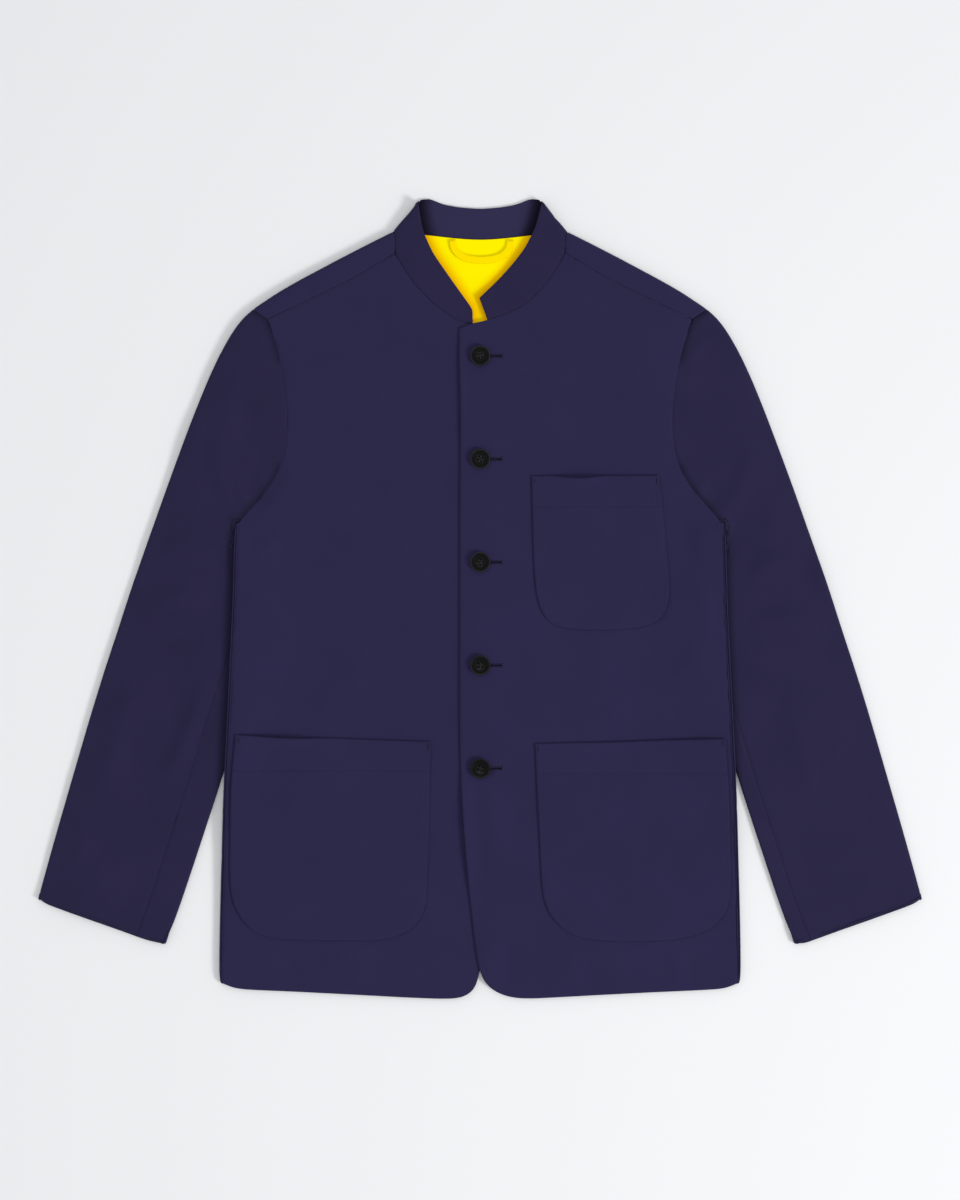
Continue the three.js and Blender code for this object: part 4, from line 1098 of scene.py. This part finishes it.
def cut_rings(cuts):
    """Cuts an upright or lying cylinder's long edges, which puts rings round it, and leaves edit mode."""
    bpy.ops.mesh.select_mode(type="EDGE")
    bpy.ops.mesh.select_all(action="DESELECT")
    bm = bmesh.from_edit_mesh(bpy.context.object.data)
    longest = max(edge.calc_length() for edge in bm.edges)
    for edge in bm.edges:
        edge.select_set(edge.calc_length() > 0.99 * longest)
    bmesh.update_edit_mesh(bpy.context.object.data)
    bpy.ops.mesh.subdivide(number_cuts=cuts)
    bpy.ops.object.mode_set(mode="OBJECT")


def add_piece(name, mesh, material):
    piece = new_piece(name, mesh, material)
    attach(piece, "root")
    return piece


def copy_into_place(model, name, matrix, material):
    mesh = model.data.copy()
    mesh.name = name
    mesh.transform(matrix)
    return add_piece(name, mesh, material)


print("helpers for", len(BUTTONS), "buttons are ready")

# %% Model one button
BUTTON_RADIUS = 10.0 * MM
BUTTON_HEIGHT = 3.8 * MM
RIM_WIDTH = 1.7 * MM
DISH_SLOPE = 1.3 * MM
DISH_DEPTH = 0.9 * MM
HOLE_RADIUS = 0.95 * MM
HOLE_OFFSET = 1.85 * MM
SEAT_INSET = 2.2 * MM
EDGE_ROUNDING = {"width": 0.75 * MM, "segments": 4, "limit_method": "ANGLE", "angle_limit": math.radians(60)}

bpy.ops.object.select_all(action="DESELECT")
bpy.ops.mesh.primitive_cylinder_add(vertices=48, radius=BUTTON_RADIUS, depth=BUTTON_HEIGHT)
button_model = start_model("button model")
select_faces(lambda f: f.normal.z > 0.9)
bpy.ops.mesh.inset(thickness=RIM_WIDTH)
bpy.ops.mesh.inset(thickness=DISH_SLOPE)
bpy.ops.transform.translate(value=(0, 0, -DISH_DEPTH))
select_faces(lambda f: f.normal.z < -0.9)
bpy.ops.mesh.inset(thickness=SEAT_INSET)
bpy.ops.object.mode_set(mode="OBJECT")
for across in (-HOLE_OFFSET, HOLE_OFFSET):
    for up in (-HOLE_OFFSET, HOLE_OFFSET):
        place = (across, up, 0)
        bpy.ops.mesh.primitive_cylinder_add(vertices=16, radius=HOLE_RADIUS, depth=12 * MM, location=place)
        drill = bpy.context.object
        apply_modifier(button_model, "BOOLEAN", operation="DIFFERENCE", object=drill, solver="EXACT")
        bpy.data.objects.remove(drill)
apply_modifier(button_model, "BEVEL", **EDGE_ROUNDING)
button_model.select_set(True)
bpy.context.view_layer.objects.active = button_model
bpy.ops.object.shade_smooth_by_angle(angle=math.radians(35))
print("one button:", triangle_count(button_model), "triangles")

# %% Model the crossed thread and the wound shank
THREAD_RADIUS = 0.3 * MM
THREAD_SIDE = 0.31 * MM
THREAD_ARCH = 0.55 * MM
THREAD_DIP = 1.5 * MM
THREAD_DIPS_FROM = 0.72
CROSS_HALF = 2.55 * MM
SHANK_RADIUS = 1.15 * MM
SHANK_TURNS = 6
SHANK_GROOVE = 0.16


def strand(offset, angle):
    """One thread of the cross: it rises out of a hole, lies over the middle and dips into the other hole."""
    bpy.ops.object.select_all(action="DESELECT")
    bpy.ops.mesh.primitive_cylinder_add(
        vertices=8, radius=THREAD_RADIUS, depth=2 * CROSS_HALF, rotation=(0, math.pi / 2, 0)
    )
    bpy.ops.object.transform_apply(location=False, rotation=True, scale=False)
    thread = start_model("strand")
    cut_rings(9)
    points = read_points(thread)
    from_middle = np.abs(points[:, 0]) / CROSS_HALF
    dip = ease((from_middle - THREAD_DIPS_FROM) / (1 - THREAD_DIPS_FROM))
    points[:, 1] += offset
    points[:, 2] += THREAD_ARCH * (1 - from_middle**2) - THREAD_DIP * dip
    write_points(thread, points)
    thread.data.transform(Matrix.Rotation(angle, 4, "Z"))
    return thread


def join_all(parts, name):
    bpy.ops.object.select_all(action="DESELECT")
    for part in parts:
        part.select_set(True)
    bpy.context.view_layer.objects.active = parts[0]
    bpy.ops.object.join()
    parts[0].name = name
    bpy.ops.object.shade_smooth()
    return parts[0]


diagonals = (math.pi / 4, 3 * math.pi / 4)
strands = [strand(side * THREAD_SIDE, turn) for turn in diagonals for side in (-1, 1)]
cross_model = join_all(strands, "cross model")

bpy.ops.object.select_all(action="DESELECT")
bpy.ops.mesh.primitive_cylinder_add(vertices=16, radius=SHANK_RADIUS, depth=1.0)
shank_model = start_model("shank model")
cut_rings(4 * SHANK_TURNS - 1)
shank_points = read_points(shank_model)
winding = 1 - SHANK_GROOVE * np.cos(math.tau * SHANK_TURNS * (shank_points[:, 2] + 0.5))
shank_points[:, :2] *= winding[:, None]
write_points(shank_model, shank_points)
bpy.ops.object.shade_smooth()
print("cross and shank:", triangle_count(cross_model), triangle_count(shank_model), "triangles")

# %% Place five buttons
BUTTON_TURNS = (12, -24, 38, 4, -15)
SHANK_SINK = 0.2 * MM

for node, turn in zip(BUTTONS, BUTTON_TURNS):
    low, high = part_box(node)
    centre = (low + high) / 2
    turned = Matrix.Rotation(math.radians(turn), 4, "Z")
    disc_place = Matrix.Translation((centre.x, centre.y, high.z - BUTTON_HEIGHT / 2)) @ turned
    disc = copy_into_place(button_model, f"{node}_resin", disc_place, resin)
    cross_place = Matrix.Translation((centre.x, centre.y, high.z - DISH_DEPTH)) @ turned
    copy_into_place(cross_model, f"{node}_thread", cross_place, black_thread)
    shank_height = high.z - BUTTON_HEIGHT + SHANK_SINK - low.z
    shank_place = Matrix.Translation((centre.x, centre.y, low.z + shank_height / 2))
    shank_place = shank_place @ Matrix.Diagonal((1, 1, shank_height, 1))
    copy_into_place(shank_model, f"{node}_shank", shank_place, black_thread)
    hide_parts(node)
    pieces[node] = disc
for model in (button_model, cross_model, shank_model):
    bpy.data.objects.remove(model)
print("buttons are at", [round(m.y / MM) for m in button_middles], "mm")

# %% [markdown]
# ## Stitches
#
# Machine stitches hold the pocket facings and the hem, and thread in the cloth's own colour makes the bar
# tacks and buttonholes. One stitch is modelled: a short thread whose two ends are narrowed and dip into the
# cloth. Rows are copies of it, laid on the cloth by casting a ray down at each place, so they follow folds.

# %% Model one stitch
STITCH_LENGTH = 2.3
STITCH_GAP = 0.7
STITCH_RADIUS = 0.2
STITCH_TIP = 0.4
STITCH_DIP = 0.16

bpy.ops.object.select_all(action="DESELECT")
thread_length = (STITCH_LENGTH - 2 * STITCH_TIP) * MM
bpy.ops.mesh.primitive_cylinder_add(
    vertices=6, radius=STITCH_RADIUS * MM, depth=thread_length, rotation=(0, math.pi / 2, 0)
)
bpy.ops.object.transform_apply(location=False, rotation=True, scale=False)
stitch_model = start_model("stitch model")
for side in (-1, 1):
    select_faces(lambda f: f.normal.x * side > 0.9)
    tip = (side * STITCH_TIP * MM, 0, -STITCH_DIP * MM)
    bpy.ops.mesh.extrude_region_move(TRANSFORM_OT_translate={"value": tip})
    bpy.ops.transform.resize(value=(1, 0.5, 0.5))
bpy.ops.object.mode_set(mode="OBJECT")
print("one stitch:", triangle_count(stitch_model), "triangles")

# %% Lay rows of stitches on the cloth
RAY_START = 0.1


def surface_of(piece):
    corners = [tuple(v.co) for v in piece.data.vertices]
    return BVHTree.FromPolygons(corners, [tuple(p.vertices) for p in piece.data.polygons])


def stitch_row(
    name, places, surface, material=navy_thread, length=STITCH_LENGTH, width=1.0, sink=0.06
):
    """Copies the stitch to each place (x, y in mm, heading in degrees) and joins the copies in one piece."""
    shape = read_points(stitch_model) * [length / STITCH_LENGTH, width, width]
    faces = [tuple(p.vertices) for p in stitch_model.data.polygons]
    all_points, all_faces = [], []
    for x, y, heading in places:
        hit, normal, _, _ = surface.ray_cast(Vector((x * MM, y * MM, RAY_START)), Vector((0, 0, -1)))
        if hit is None:
            continue
        way = Vector((math.cos(math.radians(heading)), math.sin(math.radians(heading)), 0))
        way = (way - normal * way.dot(normal)).normalized()
        turned = np.array([way, normal.cross(way), normal])
        start = len(all_points) * len(shape)
        all_points.append(shape @ turned + np.array(hit - normal * sink * MM))
        all_faces.extend(tuple(start + i for i in face) for face in faces)
    mesh = bpy.data.meshes.new(name)
    mesh.from_pydata(np.concatenate(all_points).tolist(), [], all_faces)
    mesh.polygons.foreach_set("use_smooth", [True] * len(mesh.polygons))
    add_piece(name, mesh, material)
    print(name, "has", len(all_points), "stitches")


def straight_row(x0, y0, x1, y1, pitch=STITCH_LENGTH + STITCH_GAP):
    """Places for a straight row of stitches."""
    count = max(1, round(math.hypot(x1 - x0, y1 - y0) / pitch))
    heading = math.degrees(math.atan2(y1 - y0, x1 - x0))
    steps = [(i + 0.5) / count for i in range(count)]
    return [(x0 + (x1 - x0) * t, y0 + (y1 - y0) * t, heading) for t in steps]


# %% Pocket facings, reinforcement line, corner tacks and hem
CHEST_LINE_X = 176.7
CHEST_LINE_TOP = 124
ROW_MARGIN = 3
stitched = [node for node in pieces if node.startswith(("pocket", "front", "hanger"))]
surfaces = {node: surface_of(pieces[node]) for node in stitched}

for node, line in POCKET_LINES.items():
    low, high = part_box(node)
    row = straight_row(low.x / MM + ROW_MARGIN, line, high.x / MM - ROW_MARGIN, line)
    stitch_row(f"{node}_facing_stitches", row, surfaces[node])
chest_line = straight_row(CHEST_LINE_X, CHEST_LINE_TOP, CHEST_LINE_X, POCKET_LINES["pocket_chest"])
stitch_row("pocket_chest_side_stitches", chest_line, surfaces["pocket_chest"])


def bar_tack(x, y, heading, width=1.5, threads=4):
    """Places for threads that lie side by side, as in a bar tack."""
    across = math.radians(heading + 90)
    offsets = [((i + 0.5) / threads - 0.5) * width for i in range(threads)]
    return [(x + math.cos(across) * o, y + math.sin(across) * o, heading) for o in offsets]


CORNER_TACK_LENGTH = 7
CORNER_TACK_DOWN = 5.5

for node, corners in POCKET_CORNERS.items():
    inwards = ((ROW_MARGIN, corners[0]), (-ROW_MARGIN, corners[1]))
    tacks = [place for side, (x, y) in inwards for place in bar_tack(x + side, y - CORNER_TACK_DOWN, 90)]
    stitch_row(f"{node}_corner_tacks", tacks, surfaces[node], length=CORNER_TACK_LENGTH)

# %% Hem
HEM_Y = -372.0
HEM_PITCH = 4.2

for node, x0, x1 in (("front_right", -250, -52), ("front_left", 52, 250)):
    row = straight_row(x0, HEM_Y, x1, HEM_Y, HEM_PITCH)
    stitch_row(f"{node}_hem_stitches", row, surfaces[node], length=1.3, width=0.7)

# %% [markdown]
# ## Buttonholes
#
# A keyhole buttonhole is edged with close purl stitches at right angles to its edge, and closed at its tail
# by a bar tack. The edge's path is a line out, a turn round the eyelet and a line back.

# %% Edge the five keyholes
PURL_SPACING = 0.5
PURL_LENGTH = 1.7
PURL_REACH = 0.75
TAIL_TACK_LENGTH = 6.2
TAIL_TACK_OUT = 0.4


def purl_places(centre):
    """Places round one keyhole, each with its stitch's heading at right angles to the edge."""
    x, y = centre.x / MM, centre.y / MM
    half = SLIT_WIDTH / MM / 2 + PURL_REACH
    around = SHANK_SPACE / MM + PURL_REACH
    opening = math.degrees(math.asin(half / around))
    tail = x + SLIT_LENGTH / MM
    start = x + around * math.cos(math.radians(opening))
    count = round((tail - start) / PURL_SPACING)
    straight = [start + (tail - start) * i / count for i in range(count)]
    places = [(along, y + side * half, 90) for side in (-1, 1) for along in straight]
    turns = round(math.radians(360 - 2 * opening) * around / PURL_SPACING)
    for i in range(turns + 1):
        angle = opening + (360 - 2 * opening) * i / turns
        out = Matrix.Rotation(math.radians(angle), 2) @ Vector((around, 0))
        places.append((x + out.x, y + out.y, angle))
    return places


for node, centre in zip(BUTTONS, button_middles):
    cloth = surfaces["front_left"]
    stitch_row(f"{node}_hole_purl", purl_places(centre), cloth, length=PURL_LENGTH, width=0.85, sink=0.02)
    tail_x = (centre.x + SLIT_LENGTH) / MM + TAIL_TACK_OUT
    tack = bar_tack(tail_x, centre.y / MM, 90, width=1.4)
    stitch_row(f"{node}_hole_tack", tack, cloth, length=TAIL_TACK_LENGTH, width=1.2, sink=0.0)

# %% Tacks of the hanger loop
LOOP_ENDS = (-27.5, 30.5)
LOOP_TACK_Y = 359.5
loop_tacks = [place for x in LOOP_ENDS for place in bar_tack(x, LOOP_TACK_Y, 0, width=2.0)]
stitch_row("hanger_loop_tacks", loop_tacks, surfaces["hanger_loop"], yellow_thread, 5)
bpy.data.objects.remove(stitch_model)

# %% [markdown]
# ## Triangles in all
#
# The triangles of all pieces are counted and printed.

# %% Count the triangles
print("triangles in all:", sum(triangle_count(piece) for piece in pieces.values()))
